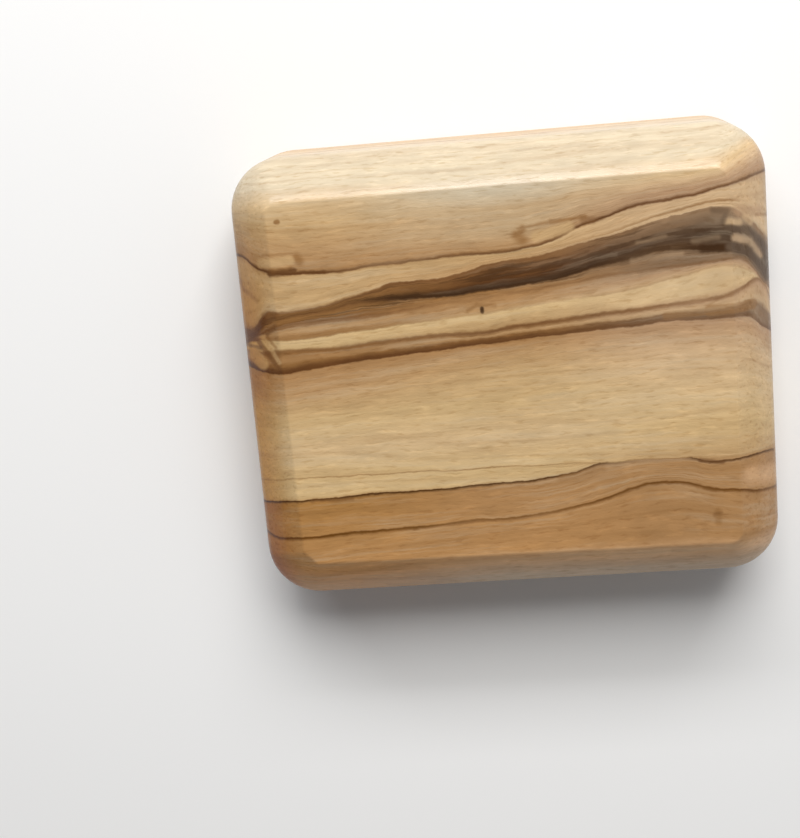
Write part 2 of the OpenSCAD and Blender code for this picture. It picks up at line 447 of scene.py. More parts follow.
def stroke_group():
    """A dab from Start to End, solid to Width and gone at Width plus Soft, all in mm."""
    tree, given, out = new_group(
        "stroke",
        {"Point": "Vector", "Start": "Vector", "End": "Vector",
         "Width": "Float", "Soft": "Float", "Strength": "Float"},
        {"Mask": "Float"},
    )

    def vector(operation, a, b=(0, 0, 0)):
        return shader_node(tree, "VectorMath", {0: a, 1: b}, operation=operation)

    run = vector("SUBTRACT", given["End"], given["Start"]).outputs[0]
    offset = vector("SUBTRACT", given["Point"], given["Start"]).outputs[0]
    length_squared = calc(tree, "MAXIMUM", vector("DOT_PRODUCT", run, run).outputs["Value"], 0.0001)
    share = calc(
        tree, "DIVIDE", vector("DOT_PRODUCT", offset, run).outputs["Value"], length_squared, clamp=True
    )
    reached = shader_node(tree, "VectorMath", {0: run, "Scale": share}, operation="SCALE").outputs[0]
    distance = vector("LENGTH", vector("SUBTRACT", offset, reached).outputs[0]).outputs["Value"]
    edge = calc(tree, "DIVIDE", calc(tree, "SUBTRACT", distance, given["Width"]), given["Soft"])
    mask = calc(tree, "SUBTRACT", 1.0, ease_between(tree, edge, 0.0, 1.0))
    tree.links.new(calc(tree, "MULTIPLY", mask, given["Strength"]), out["Mask"])
    return tree


FIBRES = {
    # how fast it changes along the case, across its face and through it, per mm; then detail, roughness
    "broad": ((0.03, 0.5, 0.12), 4.0, 0.6),
    "thin": ((0.08, 2.2, 0.5), 3.0, 0.5),
    "dashes": ((0.36, 2.3, 2.0), 2.0, 0.5),
    "glints": ((0.3, 1.7, 1.6), 2.0, 0.5),
    "threads": ((0.07, 2.6, 0.6), 3.0, 0.6),
    "mottle": ((0.16, 0.55, 0.4), 3.0, 0.6),
    "pores": ((1.6, 8.0, 8.0), 1.0, 0.5),
    "spread": ((0.012, 0.16, 0.05), 1.0, 0.5),
}
RING_RATE = 2.2         # faint year rings: radians per mm of height
RING_SWING = 34.0       # and how many radians their spacing swings by


def grain_group():
    """Point in mm (along, height, depth) to the wood's fine pattern; Streak is around 0."""
    tree, given, out = new_group(
        "grain",
        {"Point": "Vector"},
        {"Streak": "Float", "Ring": "Float", "Thread": "Float", "Mottle": "Float", "Fleck": "Float",
         "Glint": "Float", "Relief": "Float"},
    )

    made = {
        name: noise(tree, multiplied(tree, given["Point"], stretch), detail=detail, roughness=rough)
        for name, (stretch, detail, rough) in FIBRES.items()
    }
    broad = calc(tree, "SUBTRACT", made["broad"], 0.5)
    thin = calc(tree, "SUBTRACT", made["thin"], 0.5)
    streak = calc(tree, "MULTIPLY_ADD", broad, 0.9, calc(tree, "MULTIPLY", thin, 0.45))
    height = shader_node(tree, "SeparateXYZ", {0: given["Point"]}).outputs[1]
    steady = calc(tree, "MULTIPLY", height, RING_RATE)
    swing = calc(tree, "MULTIPLY_ADD", made["spread"], RING_SWING, steady)
    ring = calc(tree, "MULTIPLY_ADD", calc(tree, "SINE", swing), 0.5, 0.5)
    tree.links.new(calc(tree, "POWER", ring, 5.0), out["Ring"])
    tree.links.new(streak, out["Streak"])
    tree.links.new(ease_between(tree, made["threads"], 0.5, 0.62), out["Thread"])
    tree.links.new(made["mottle"], out["Mottle"])
    tree.links.new(ease_between(tree, made["dashes"], 0.53, 0.72), out["Fleck"])
    tree.links.new(ease_between(tree, made["glints"], 0.55, 0.74), out["Glint"])
    dents = calc(tree, "MULTIPLY", made["dashes"], -1.0)
    relief = calc(tree, "MULTIPLY_ADD", made["pores"], -0.5, dents)
    tree.links.new(relief, out["Relief"])
    return tree


VEIN_GROUP, STROKE_GROUP, GRAIN_GROUP = vein_group(), stroke_group(), grain_group()
print("grain nodes:", len(GRAIN_GROUP.nodes))

# %% [markdown]
# ## The colours of the wood
#
# A woodworker names a board's colours from cream to soot, and so does this palette. `BANDS` then
# walks down the straightened height and says which colour the wood has at each level, at the left
# end, in the middle and at the right end, because the dark heart of this block runs from warm
# brown on the left to grey-black on the right. Three Color Ramps hold the three columns.

# %% Name the colours and lay out the bands
PALETTE = {
    "cream": tone(198, 183, 157),
    "straw": tone(205, 176, 134),
    "wheat": tone(201, 171, 124),
    "sand": tone(190, 157, 112),
    "tan": tone(179, 142, 99),
    "fawn": tone(165, 125, 82),
    "honey": tone(180, 135, 86),
    "amber": tone(163, 118, 64),
    "hazel": tone(139, 99, 56),
    "brown": tone(115, 77, 42),
    "umber": tone(93, 57, 26),
    "sienna": tone(100, 60, 14),
    "russet": tone(76, 43, 10),
    "soot": tone(60, 37, 16),
    "slate": tone(92, 74, 58),
    "ash": tone(131, 105, 80),
    "drift": tone(198, 167, 132),
    "clay": tone(212, 171, 130),
    "copper": tone(206, 150, 92),
    "bisque": tone(186, 158, 121),
    "rose": tone(199, 168, 130),
    "dusk": tone(172, 138, 106),
}
BANDS = [
    # level, left end, middle, right end
    (41.6, "sand", "sand", "sand"),
    (38.6, "cream", "cream", "cream"),
    (34, "cream", "cream", "cream"),
    (31, "straw", "cream", "straw"),
    (28, "sand", "bisque", "rose"),
    (24, "tan", "bisque", "dusk"),
    (20.8, "fawn", "fawn", "dusk"),
    (19.8, "sand", "sand", "rose"),
    (15.2, "sand", "tan", "rose"),
    (14.3, "hazel", "brown", "ash"),
    (13.5, "hazel", "umber", "slate"),
    (12.7, "brown", "soot", "slate"),
    (12.2, "hazel", "hazel", "ash"),
    (11, "brown", "fawn", "ash"),
    (10.2, "tan", "fawn", "dusk"),
    (9.2, "hazel", "tan", "rose"),
    (8.8, "wheat", "wheat", "straw"),
    (7.5, "wheat", "sand", "straw"),
    (6.9, "hazel", "hazel", "dusk"),
    (5.9, "fawn", "tan", "rose"),
    (5.5, "hazel", "hazel", "ash"),
    (4.7, "brown", "hazel", "ash"),
    (4.2, "fawn", "fawn", "dusk"),
    (0, "tan", "sand", "rose"),
    (-5, "wheat", "wheat", "straw"),
    (-11, "straw", "straw", "wheat"),
    (-15, "wheat", "wheat", "sand"),
    (-18.6, "wheat", "wheat", "fawn"),
    (-19.2, "amber", "fawn", "fawn"),
    (-31, "honey", "honey", "fawn"),
    # lower bevel: lightened as painted light; clay and drift greyed as a painted reflection
    (-33.4, "copper", "clay", "clay"),
    (-37, "copper", "drift", "drift"),
]
BAND_LOW, BAND_HIGH = -42, 43
print("colours:", len(PALETTE), "bands:", len(BANDS))


def band_ramp(tree, level, column):
    """A Color Ramp down one column of BANDS."""
    ramp = shader_node(tree, "ValToRGB", {0: level})
    stops = ramp.color_ramp.elements
    places = [((row[0] - BAND_LOW) / (BAND_HIGH - BAND_LOW), row[column]) for row in BANDS]
    places.sort()
    while len(stops) < len(places):
        stops.new(0.5)
    for stop, (place, colour) in zip(stops, places):
        stop.position = place
    for stop, (place, colour) in zip(stops, places):
        stop.color = PALETTE[colour]
    return ramp.outputs[0]


# %% [markdown]
# ## Where each vein is strong
#
# A growth line isn't equally dark all along. `VEINS` gives each its colour, how far it fades above
# and below, and its strength at a few places along the case. `STROKES` are the marks that belong
# to no line: the pin knots, the little eye in the upper half, the knot at the left end where the
# lines cross, and the grey streams that pour over the right bevel.

# %% List the veins and strokes
VEINS = {
    # name: colour, reach above, reach below, strengths along the case
    "crown": ("hazel", 0.1, 0.3, [(-45, 0.6), (-10, 0.9), (20, 0.6), (45, 0.8)]),
    "upper": ("umber", 0.65, 0.4, [
        (-45, 0.9), (-38, 1), (-30, 0.9), (-18, 0.75), (0, 0.8), (12, 0.9), (45, 0.75)]),
    "sliver": ("hazel", 0.5, 0.35, [
        (-45, 0), (0, 0.1), (14, 0.3), (25, 0.6), (37, 0.8), (40.5, 0.1), (45, 0)]),
    "dark_top": ("brown", 0.35, 0.8, [
        (-45, 0.6), (-30, 0.6), (-10, 0.9), (4, 0.8), (14, 0.3), (45, 0.3)]),
    "dark_core": ("soot", 1.35, 0.45, [
        (-45, 0.2), (-25, 0.25), (-16, 0.85), (0, 1), (12, 1), (26, 0.5), (36, 0.9), (45, 0.8)]),
    "dark_foot": ("brown", 0.5, 0.5, [
        (-45, 0.5), (-20, 0.45), (-8, 0.25), (10, 0.45), (30, 0.4), (45, 0.3)]),
    "cream_top": ("hazel", 0.5, 0.3, [
        (-45, 0.5), (-30, 0.7), (-12, 0.4), (10, 0.2), (18, 0.4), (45, 0.2)]),
    "cream_foot": ("brown", 0.45, 0.85, [
        (-45, 0.2), (-37, 0.6), (-15, 0.7), (2, 0.9), (20, 0.7), (36, 0.6), (43, 0.6)]),
    "middle": ("umber", 1.4, 0.3, [
        (-45, 1), (-37, 1), (-20, 0.95), (0, 0.9), (20, 0.8), (38, 0.7), (45, 0.8)]),
    "hairline": ("hazel", 0.25, 0.2, [(-45, 0.3), (-20, 0.6), (12, 0.5), (18, 0.25), (45, 0.25)]),
    "lower": ("russet", 0.25, 0.55, [
        (-45, 1), (0, 1), (13, 1), (17, 0.5), (28, 0.25), (31, 0.9), (41, 0.9), (45, 0.3)]),
    "amber": ("sienna", 0.35, 0.75, [
        (-45, 1), (-20, 0.9), (0, 0.7), (15, 0.8), (34, 0.9), (45, 0.6)]),
    "foot": ("hazel", 0.4, 0.5, [(-45, 0.1), (10, 0.25), (25, 0.3), (45, 0.4)]),
}
STROKES = {
    # colour, from the lowest layer up: (start, end, width, soft, strength)
    "fawn": [
        ((-5.5, 12), (-1, 12.3), 0.05, 0.9, 0.5),
    ],
    "hazel": [
        ((-36.2, 28.7), (-36, 28.7), 0.25, 0.4, 0.9),
        ((34, -26), (34, -28), 0.15, 0.8, 0.6),
        ((-39.2, 23.3), (-34, 23.3), 0.03, 0.35, 0.45),
        ((-33.4, 22.6), (-33, 21.9), 0.15, 1.2, 0.8),
        ((-38, 20.5), (-34.6, 20.7), 0.1, 0.6, 0.7),
        ((3.3, 23.4), (4.4, 22.4), 0.15, 1.2, 0.75),
        ((4.4, 24.3), (3.5, 23.2), 0.2, 0.9, 0.7),
        ((3.6, 24.4), (9, 25.2), 0.02, 0.4, 0.6),
        ((-5.6, 11.4), (-4, 12.4), 0.02, 0.5, 0.55),
        ((-4, 12.4), (-1, 11.9), 0.02, 0.5, 0.5),
        ((9, 25.2), (14.8, 25.5), 0.05, 0.5, 0.7),
        ((-39.8, 9.2), (-38.6, 7.4), 0.03, 0.5, 0.6),
        ((-44.9, 19.4), (-44, 17.4), 0.1, 0.8, 0.5),
        ((-44, 17.4), (-41.2, 15.4), 0.05, 0.7, 0.45),
        ((42.8, 23.3), (44.8, 22.8), 0.03, 0.5, 0.6),
        ((8, -18.6), (15, -17.2), 0.1, 1.1, 0.45),
        ((27, 8.1), (34, 8.6), 0.3, 0.6, 0.5),
        ((34, 8.6), (41.4, 8.6), 0.65, 0.45, 0.6),
    ],
    "brown": [
        ((33.4, -26.6), (34.6, -26.2), 0.05, 0.5, 0.4),
        ((14.4, 25.1), (16, 24.8), 0.1, 0.9, 0.5),
        ((-38, 13), (-40, 12.9), 0.3, 0.7, 0.7),
        ((-44.6, 9.8), (-42, 8.6), 0.1, 0.7, 0.6),
        ((-42, 8.6), (-40.4, 6.6), 0.2, 0.6, 0.75),
        ((-40.4, 6.6), (-38.4, 3.9), 0.15, 0.6, 0.7),
        ((-40, 9.7), (-38.4, 11), 0.05, 0.5, 0.7),
        ((-35, -19.9), (-28, -19.8), 0.05, 0.6, 0.5),
    ],
    "umber": [
        ((31.5, -16.9), (35.2, -17.4), 0.1, 0.55, 0.7),
        ((-38.2, 20.1), (-34, 20.3), 0.2, 0.6, 0.8),
        ((-34, 20), (-29, 19.8), 0.05, 0.5, 0.7),
        ((-40.2, 12.2), (-42.4, 9.6), 0.15, 0.7, 0.7),
        ((-42.4, 9.6), (-45.2, 7.4), 0.25, 0.8, 0.75),
        ((-44.6, 7.4), (-41.6, 7.3), 0.1, 0.5, 0.6),
    ],
    "sand": [
        ((-39.6, 21.9), (-34.6, 22.1), 0.4, 0.8, 0.7),
        ((6.6, 22.9), (12, 24.1), 0.4, 0.95, 0.8),
        ((-40.9, 9.2), (-39.4, 7), 0.15, 0.5, 0.6),
        ((-39.4, 7), (-38.2, 5), 0.1, 0.5, 0.6),
        ((-43, 5.8), (-41.6, 4.6), 0.9, 0.7, 0.75),
    ],
    "soot": [
        ((-3.2, 11.2), (-3.2, 11.7), 0.16, 0.35, 0.95),
        ((20, 19), (28, 19.4), 0.1, 0.5, 0.4),
        ((32.6, 21.9), (34.6, 21.5), 0.05, 0.6, 0.35),
        ((24, 21.4), (27.5, 21), 0.05, 0.6, 0.4),
        ((33.6, 18.8), (37.2, 18.6), 0.2, 1.0, 0.85),
    ],
    "drift": [
        ((23, 20.7), (27.5, 21.3), 0.0, 0.7, 0.18),
        ((22, 17.8), (30, 18.3), 0.0, 0.8, 0.24),
        ((32, 20.2), (36, 20.5), 0.0, 0.8, 0.18),
        ((38.8, 20.2), (41.4, 19.2), 0.15, 0.9, 0.6),
        ((41.4, 19.2), (43.2, 16.4), 0.15, 0.8, 0.6),
    ],
    "dusk": [((39.5, 24.5), (43, 23.9), 0.3, 1.1, 0.55)],
    "clay": [((40, -20.4), (45, -21.4), 0.2, 2.4, 0.6)],
    "rose": [
        ((37.8, 22.9), (39.6, 22.5), 0.15, 0.9, 0.7),
        ((40.6, 23.3), (41.6, 22.2), 0.1, 0.8, 0.55),
    ],
    "slate": [
        ((35.4, 24.9), (37.6, 24.6), 0.1, 0.8, 0.5),
        ((37.4, 24.4), (37, 23), 0.1, 0.7, 0.5),
        ((37.6, 22), (41, 21.2), 0.1, 0.75, 0.85),
        ((41, 21.2), (43.4, 18.8), 0.15, 0.85, 0.85),
        ((43.4, 18.8), (44.8, 15.4), 0.2, 0.9, 0.85),
        ((38, 18.8), (41.2, 17.4), 0.35, 0.95, 0.9),
        ((41.2, 17.4), (43, 14.8), 0.3, 0.85, 0.9),
        ((43, 14.8), (44.5, 12.6), 0.35, 0.9, 0.9),
    ],
}
print("veins:", len(VEINS), "dabs:", sum(len(dabs) for dabs in STROKES.values()))

# %% [markdown]
# ## Laying the colours on
#
# The figure could be one long chain of nodes, but it is easier to follow as a painter's layers.
# First comes the ground: the bands, pulled lighter and darker by the streaks, with soot-coloured
# threads in the dark heart.

# %% Lay the ground
STREAK_PULL, RING_PULL, HEART_PULL = 1.1, 0.13, 0.55
LEFT_TO_MIDDLE, MIDDLE_TO_RIGHT = (-32.0, 0.0), (2.0, 30.0)     # mm along, where bands change over


def banded(tree, along_case, height):
    """The three columns of BANDS, each giving way to the next along the case."""
    band_range = BAND_HIGH - BAND_LOW
    level = calc(tree, "MULTIPLY_ADD", height, 1 / band_range, -BAND_LOW / band_range, clamp=True)
    first_change = ease_between(tree, along_case, *LEFT_TO_MIDDLE)
    colour = blend_colour(
        tree, first_change, band_ramp(tree, level, 1), band_ramp(tree, level, 2)
    )
    second_change = ease_between(tree, along_case, *MIDDLE_TO_RIGHT)
    return blend_colour(tree, second_change, colour, band_ramp(tree, level, 3))


def streaked(tree, colour, height, grain):
    """Streaks, faint year rings and the threads of the dark heart."""
    for paint, pull in (("cream", STREAK_PULL), ("hazel", -STREAK_PULL)):
        share = calc(tree, "MULTIPLY", grain.outputs["Streak"], pull, clamp=True)
        colour = blend_colour(tree, share, colour, PALETTE[paint])
    ring = calc(tree, "MULTIPLY", grain.outputs["Ring"], RING_PULL)
    colour = blend_colour(tree, ring, colour, PALETTE["hazel"])
    rising, falling = ease_between(tree, height, 11.2, 12.2), ease_between(tree, height, 15.0, 14.2)
    heart = calc(tree, "MULTIPLY", calc(tree, "MULTIPLY", rising, falling), grain.outputs["Thread"])
    return blend_colour(tree, calc(tree, "MULTIPLY", heart, HEART_PULL), colour, PALETTE["soot"])


# %% [markdown]
# ## Veins and dabs over the ground
#
# The veins come next and then the dabs, each paled where a streak is pale, so that no line looks
# printed. One dab could be mixed in after another, but two that overlap would then show a darker
# joint. So the dabs of a colour are joined by taking the stronger mask, and laid on as one.

# %% Draw the veins and dabs
def veined(tree, colour, along_case, lines, patchy):
    """Each vein of VEINS over the colour."""
    curve_place = place_on_curve(tree, along_case)
    for name, (paint, above, below, strengths) in VEINS.items():
        strength = curve_along(tree, curve_place, strengths)
        strength = calc(tree, "MULTIPLY", strength, patchy, clamp=True)
        vein = use_group(
            tree,
            VEIN_GROUP,
            {"Distance": lines.outputs[name], "Above": above, "Below": below, "Strength": strength},
        )
        colour = blend_colour(tree, vein.outputs["Mask"], colour, PALETTE[paint])
    return colour


def dabbed(tree, colour, point, patchy):
    """Each colour of STROKES over the colour: its dabs are joined first, then laid on together."""
    for paint, dabs in STROKES.items():
        layer = 0.0
        for start, end, width, soft, strength in dabs:
            dab = use_group(
                tree,
                STROKE_GROUP,
                {"Point": point, "Start": (*start, 0), "End": (*end, 0), "Width": width,
                 "Soft": soft, "Strength": strength},
            )
            layer = calc(tree, "MAXIMUM", layer, dab.outputs["Mask"])
        layer = calc(tree, "MULTIPLY", layer, patchy, clamp=True)
        colour = blend_colour(tree, layer, colour, PALETTE[paint])
    return colour


# %% [markdown]
# ## The figure put together
#
# Last come the fibres' flecks and glints, and painted shade: the left end is darkened with painted
# shade, and a darker painted shadow lies on its lower corner. Then the layers are called in their
# order, and the whole figure is one group that every wood can use.

# %% Fleck the colour, paint shade on the left end and put the figure together
FLECK_TINT = (0.86, 0.81, 0.74, 1)
# painted shade over the left bevel, and a darker painted shadow at its lower corner
LEFT_SHADE_TINT, CORNER_SHADOW_TINT = (0.86, 0.58, 0.2, 1), (0.62, 0.42, 0.18, 1)
DULL, GLINT_GAIN, MOTTLE_GAIN = 0.8, 0.12, 0.4


def flecked_and_shaded(tree, colour, place, grain):
    """Flecks, glints and mottling; painted shade on the left end, darkest at the lower corner."""
    colour = blend_colour(tree, grain.outputs["Fleck"], colour, FLECK_TINT, "MULTIPLY")
    shade = calc(tree, "MULTIPLY_ADD", grain.outputs["Glint"], GLINT_GAIN, DULL)
    shade = calc(tree, "MULTIPLY_ADD", grain.outputs["Mottle"], MOTTLE_GAIN, shade)
    colour = shader_node(
        tree, "VectorMath", {0: colour, "Scale": shade}, operation="SCALE"
    ).outputs[0]
    # painted shade on the left end, fading out towards its top corner
    left_end = ease_between(tree, place.outputs[0], -37.5, -44.5)
    left_shade = calc(tree, "MULTIPLY", left_end, ease_between(tree, place.outputs[1], 32.0, 12.0))
    colour = blend_colour(tree, left_shade, colour, LEFT_SHADE_TINT, "MULTIPLY")
    # painted shadow on the lower corner of the left end
    corner_shadow = calc(tree, "MULTIPLY", left_shade, ease_between(tree, place.outputs[1], -24.0, -36.0))
    return blend_colour(tree, corner_shadow, colour, CORNER_SHADOW_TINT, "MULTIPLY")


def olive_figure():
    """Vector in mm to the wood's Color, its dark Fleck and its Relief."""
    tree, given, out = new_group(
        "olive_figure", {"Vector": "Vector"}, {"Color": "Color", "Fleck": "Float", "Relief": "Float"}
    )
    place = shader_node(tree, "SeparateXYZ", {0: given["Vector"]})
    along_case = place.outputs[0]
    lines = use_group(tree, GROWTH_GROUP, {"Vector": given["Vector"]})
    height = lines.outputs["Height"]
    colour = banded(tree, along_case, height)
    grain_point = shader_node(tree, "CombineXYZ", {0: along_case, 1: height, 2: place.outputs[2]})
    grain = use_group(tree, GRAIN_GROUP, {"Point": grain_point.outputs[0]})
    colour = streaked(tree, colour, height, grain)
    patchy = calc(tree, "MULTIPLY_ADD", grain.outputs["Streak"], -0.8, 1.0)
    colour = veined(tree, colour, along_case, lines, patchy)
    drifted = calc(tree, "ADD", place.outputs[1], lines.outputs["Drift"])
    dab_point = shader_node(tree, "CombineXYZ", {0: along_case, 1: drifted})
    colour = dabbed(tree, colour, dab_point.outputs[0], patchy)
    colour = flecked_and_shaded(tree, colour, place, grain)
    tree.links.new(colour, out["Color"])
    tree.links.new(grain.outputs["Fleck"], out["Fleck"])
    tree.links.new(grain.outputs["Relief"], out["Relief"])
    return tree


OLIVE_GROUP = olive_figure()
print("olive figure nodes:", len(OLIVE_GROUP.nodes))

# %% [markdown]
# ## Three finishes of one wood
#
# The outside of the shell is sanded through fine grits and lacquered, so it has a clear coat over
# a soft sheen. The pocket that a cutter leaves in its back is bare wood. The plate comes from the
# plainer side of the same log: its pattern is moved along and turned over with a Mapping node, and
# it is oiled, not lacquered.


# %% Wood materials
def wood(name, roughness, coat, relief, shift=(0, 0, 0), turn=0.0, tint=(1, 1, 1, 1)):
    """Olive wood with its pattern shifted in mm and turned about the case's normal."""
    material, tree, surface = new_material(name)
    figure = use_group(tree, OLIVE_GROUP, {"Vector": in_millimetres(tree, shift, turn)})
    feed(tree, surface, {
        "Base Color": blend_colour(tree, 1.0, figure.outputs["Color"], tint, "MULTIPLY"),
        "Roughness": calc(tree, "MULTIPLY_ADD", figure.outputs["Fleck"], 0.12, roughness),
        "Normal": bumped(tree, figure.outputs["Relief"], relief, 0.1 * MM),
        "Coat Weight": coat,
        "Coat Roughness": 0.13,
        "Specular IOR Level": 0.15,
    })
    return material


LACQUERED = wood("lacquered_olive", roughness=0.45, coat=0.35, relief=0.35)
MILLED = wood("milled_olive", roughness=0.62, coat=0.0, relief=1.0, tint=(0.96, 0.94, 0.9, 1))
OILED = wood(
    "oiled_olive", roughness=0.5, coat=0.1, relief=0.7, shift=(6, -9, 4), turn=math.pi
)
print("woods:", [material.name for material in (LACQUERED, MILLED, OILED)])

# %% [markdown]
# ## The floor
#
# The case lies on a plain pale sheet, large enough that its edge never shows.

# %% Lay the floor
SHEET_HALF = 2.0                    # metres
SHEET_GAP = 0.05 * MM               # below the case, so that the two never share a level


def object_from(bm, name):
    """Turns a bmesh into an object at the origin."""
    mesh = bpy.data.meshes.new(name)
    bm.to_mesh(mesh)
    bm.free()
    made = bpy.data.objects.new(name, mesh)
    bpy.context.scene.collection.objects.link(made)
    return made


sheet = bmesh.new()
bmesh.ops.create_grid(sheet, x_segments=1, y_segments=1, size=SHEET_HALF)
bmesh.ops.translate(sheet, vec=(0, 0, case_low.z - SHEET_GAP), verts=sheet.verts)
floor = object_from(sheet, "floor")
paper, paper_tree, paper_surface = new_material("pale_sheet")
feed(paper_tree, paper_surface, {"Base Color": (0.86, 0.86, 0.86, 1), "Roughness": 0.7})
floor.data.materials.append(paper)
print("floor, m:", [round(side, 2) for side in floor.dimensions])

# %% [markdown]
# ## Helpers for the pieces
#
# Every piece goes through the same few steps: a bmesh is shaped by operators, becomes a mesh, gets
# its materials, rides on its body and stands for its CAD node. Hollows are cut with the Boolean
# modifier, which is applied at once. Weighted normals then keep the large flat faces flat while
# the narrow rounded edges between them shade smoothly.


# %% Piece helpers
EDGE_ANGLE = 35         # degrees between two faces, from which their edge is drawn crisp


def soften(bm, geometry, width, segments, affect="EDGES"):
    """Rounds edges or corners over, or chamfers them with one segment."""
    bmesh.ops.bevel(
        bm,
        geom=geometry,
        offset=width,
        offset_type="OFFSET",
        segments=segments,
        profile=0.5,
        affect=affect,
        clamp_overlap=True,
        material=-1,
    )


def move(bm, by, verts=None):
    """Moves a whole bmesh, or some of its vertices."""
    bmesh.ops.translate(bm, vec=by, verts=verts or bm.verts)


def box_from(length, width, thickness):
    """A plain box round the origin."""
    bm = bmesh.new()
    bmesh.ops.create_cube(bm, size=1.0)
    bmesh.ops.scale(bm, vec=(length, width, thickness), verts=bm.verts)
    return bm


def edges_at(bm, z):
    """The edges that lie in one level."""
    return [e for e in bm.edges if all(abs(v.co.z - z) < NEAR for v in e.verts)]


def span(edge, axis):
    """How far an edge runs along an axis, numbered 0 to 2."""
    return abs(edge.verts[0].co[axis] - edge.verts[1].co[axis])


def new_verts(pushed):
    """The vertices that an extrusion made."""
    return [v for v in pushed["geom"] if isinstance(v, bmesh.types.BMVert)]


def bake_modifiers(piece):
    """Replaces the piece's mesh by what its modifiers make of it."""
    graph = bpy.context.evaluated_depsgraph_get()
    shaped = bpy.data.meshes.new_from_object(piece.evaluated_get(graph))
    piece.modifiers.clear()
    old, piece.data = piece.data, shaped
    bpy.data.meshes.remove(old)


def cut_away(piece, cutters):
    """Cuts each cutter's volume out of the piece and removes the cutters."""
    for cutter in cutters:
        saw = piece.modifiers.new("cut", "BOOLEAN")
        saw.operation = "DIFFERENCE"
        saw.solver = "EXACT"
        saw.object = cutter
    bake_modifiers(piece)
    for cutter in cutters:
        bpy.data.objects.remove(cutter)


def finish_piece(piece, body, node):
    """Smooth shading with crisp corners, the body it rides on and the node that it replaces."""
    bake_modifiers(piece)
    for face in piece.data.polygons:
        face.use_smooth = True
    piece.data.set_sharp_from_angle(angle=math.radians(EDGE_ANGLE))
    evener = piece.modifiers.new("even_normals", "WEIGHTED_NORMAL")
    evener.keep_sharp = True
    bake_modifiers(piece)
    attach(piece, body)
    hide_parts(node)
    return piece


def block(length, width, thickness, corner, corner_segments=12):
    """A block with rounded corners, standing on level 0."""
    bm = box_from(length, width, thickness)
    move(bm, (0, 0, thickness / 2))
    upright = [e for e in bm.edges if span(e, 2) > thickness / 2]
    soften(bm, upright, corner, corner_segments)
    return bm


def rod(radius, length, place, segments=48, top_radius=None):
    """A closed cylinder or cone along Z from a place, as a cutter."""
    bm = bmesh.new()
    bmesh.ops.create_cone(
        bm,
        cap_ends=True,
        segments=segments,
        radius1=radius,
        radius2=radius if top_radius is None else top_radius,
        depth=length,
    )
    move(bm, Vector(place) + Vector((0, 0, length / 2)))
    return object_from(bm, "cutter")


def turned(profile, steps=64):
    """Spins a profile of (radius, distance along Z) into a closed solid."""
    bm = bmesh.new()
    points = [bm.verts.new((radius, 0, along)) for radius, along in profile]
    lines = [bm.edges.new(pair) for pair in zip(points, points[1:])]
    bmesh.ops.spin(
        bm,
        geom=points + lines,
        cent=(0, 0, 0),
        axis=(0, 0, 1),
        angle=2 * math.pi,
        steps=steps,
        use_merge=True,
    )
    bmesh.ops.remove_doubles(bm, verts=bm.verts, dist=NEAR / 10)
    bmesh.ops.recalc_face_normals(bm, faces=bm.faces)
    return bm


def quarter(centre, radius, start, end, steps=4):
    """Points on an arc in a profile, with angles in degrees from the radius direction."""
    return [
        (
            centre[0] + radius * math.cos(math.radians(start + (end - start) * i / steps)),
            centre[1] + radius * math.sin(math.radians(start + (end - start) * i / steps)),
        )
        for i in range(steps + 1)
    ]


def lay_along(bm, start):
    """Turns a piece that stands along Z so that it runs along X from a start point."""
    bmesh.ops.rotate(bm, cent=(0, 0, 0), matrix=Matrix.Rotation(math.pi / 2, 3, "Y"), verts=bm.verts)
    move(bm, start)
    return bm


print("corners are crisp from", EDGE_ANGLE, "degrees up")

# %% [markdown]
# ## The shell
#
# The shell is one block. It could be carved with a Boolean for every face, but a bench worker
# starts from a sawn block, rounds the corners, planes the bevel, and then breaks every edge with
# paper, and the bevel operator can follow the same order: upright edges, front rim, then the two
# lines that the bevel made. Sanding by hand leaves the bevel a little fuller in its middle and
# takes more off one corner of the face than off another, so both are moved slightly.

# %% Shape the block
CORNER_RADIUS = 9 * MM
BEVEL_CROWN = 0.6 * MM                      # how far sanding rounds the middle of the bevel up
WORN_REACH, WORN_IN = 4 * MM, 1.5 * MM      # round the face's worn corner, and how far it moves in
FACE_EDGE, SIDE_EDGE, BACK_EDGE = 0.45 * MM, 1.2 * MM, 0.8 * MM

shell_bm = block(case_size.x, case_size.y, case_size.z, CORNER_RADIUS)
soften(shell_bm, edges_at(shell_bm, case_high.z), FRONT_BEVEL, 1)
worn_corner = Vector((case_low.x + FRONT_BEVEL, case_low.y + FRONT_BEVEL, case_high.z))
for vert in shell_bm.verts:
    closeness = 1 - (vert.co - worn_corner).length / WORN_REACH
    if closeness > 0:
        vert.co += Vector((WORN_IN, WORN_IN, 0)) * closeness
bevel_base = case_high.z - FRONT_BEVEL
slopes = [
    e
    for e in shell_bm.edges
    if {round((case_high.z - v.co.z) / MM, 2) for v in e.verts} == {0, round(FRONT_BEVEL / MM, 2)}
]
bmesh.ops.subdivide_edges(shell_bm, edges=slopes, cuts=5)
shell_bm.normal_update()
for vert in shell_bm.verts:
    down_slope = (case_high.z - vert.co.z) / FRONT_BEVEL
    if 0.01 < down_slope < 0.99:
        vert.co += vert.normal * (4 * BEVEL_CROWN * down_slope * (1 - down_slope))
soften(shell_bm, edges_at(shell_bm, case_high.z), FACE_EDGE, 3)
soften(shell_bm, edges_at(shell_bm, bevel_base), SIDE_EDGE, 4)
soften(shell_bm, edges_at(shell_bm, case_low.z), BACK_EDGE, 3)
shell = object_from(shell_bm, "olive_shell")
print("block:", len(shell.data.polygons), "faces")

# %% [markdown]
# ## The hollow in the shell
#
# A router cuts a shallow recess for the plate, a deeper round-roofed channel over the tube, and
# four blind pockets for the magnets. Each is a closed cutter, and one Boolean per cutter takes it
# out. Every mouth gets its own slightly flared cutter, because a crisp inner edge would chip.
# Only the walls of the hollow are bare wood, so its faces get the milled finish.

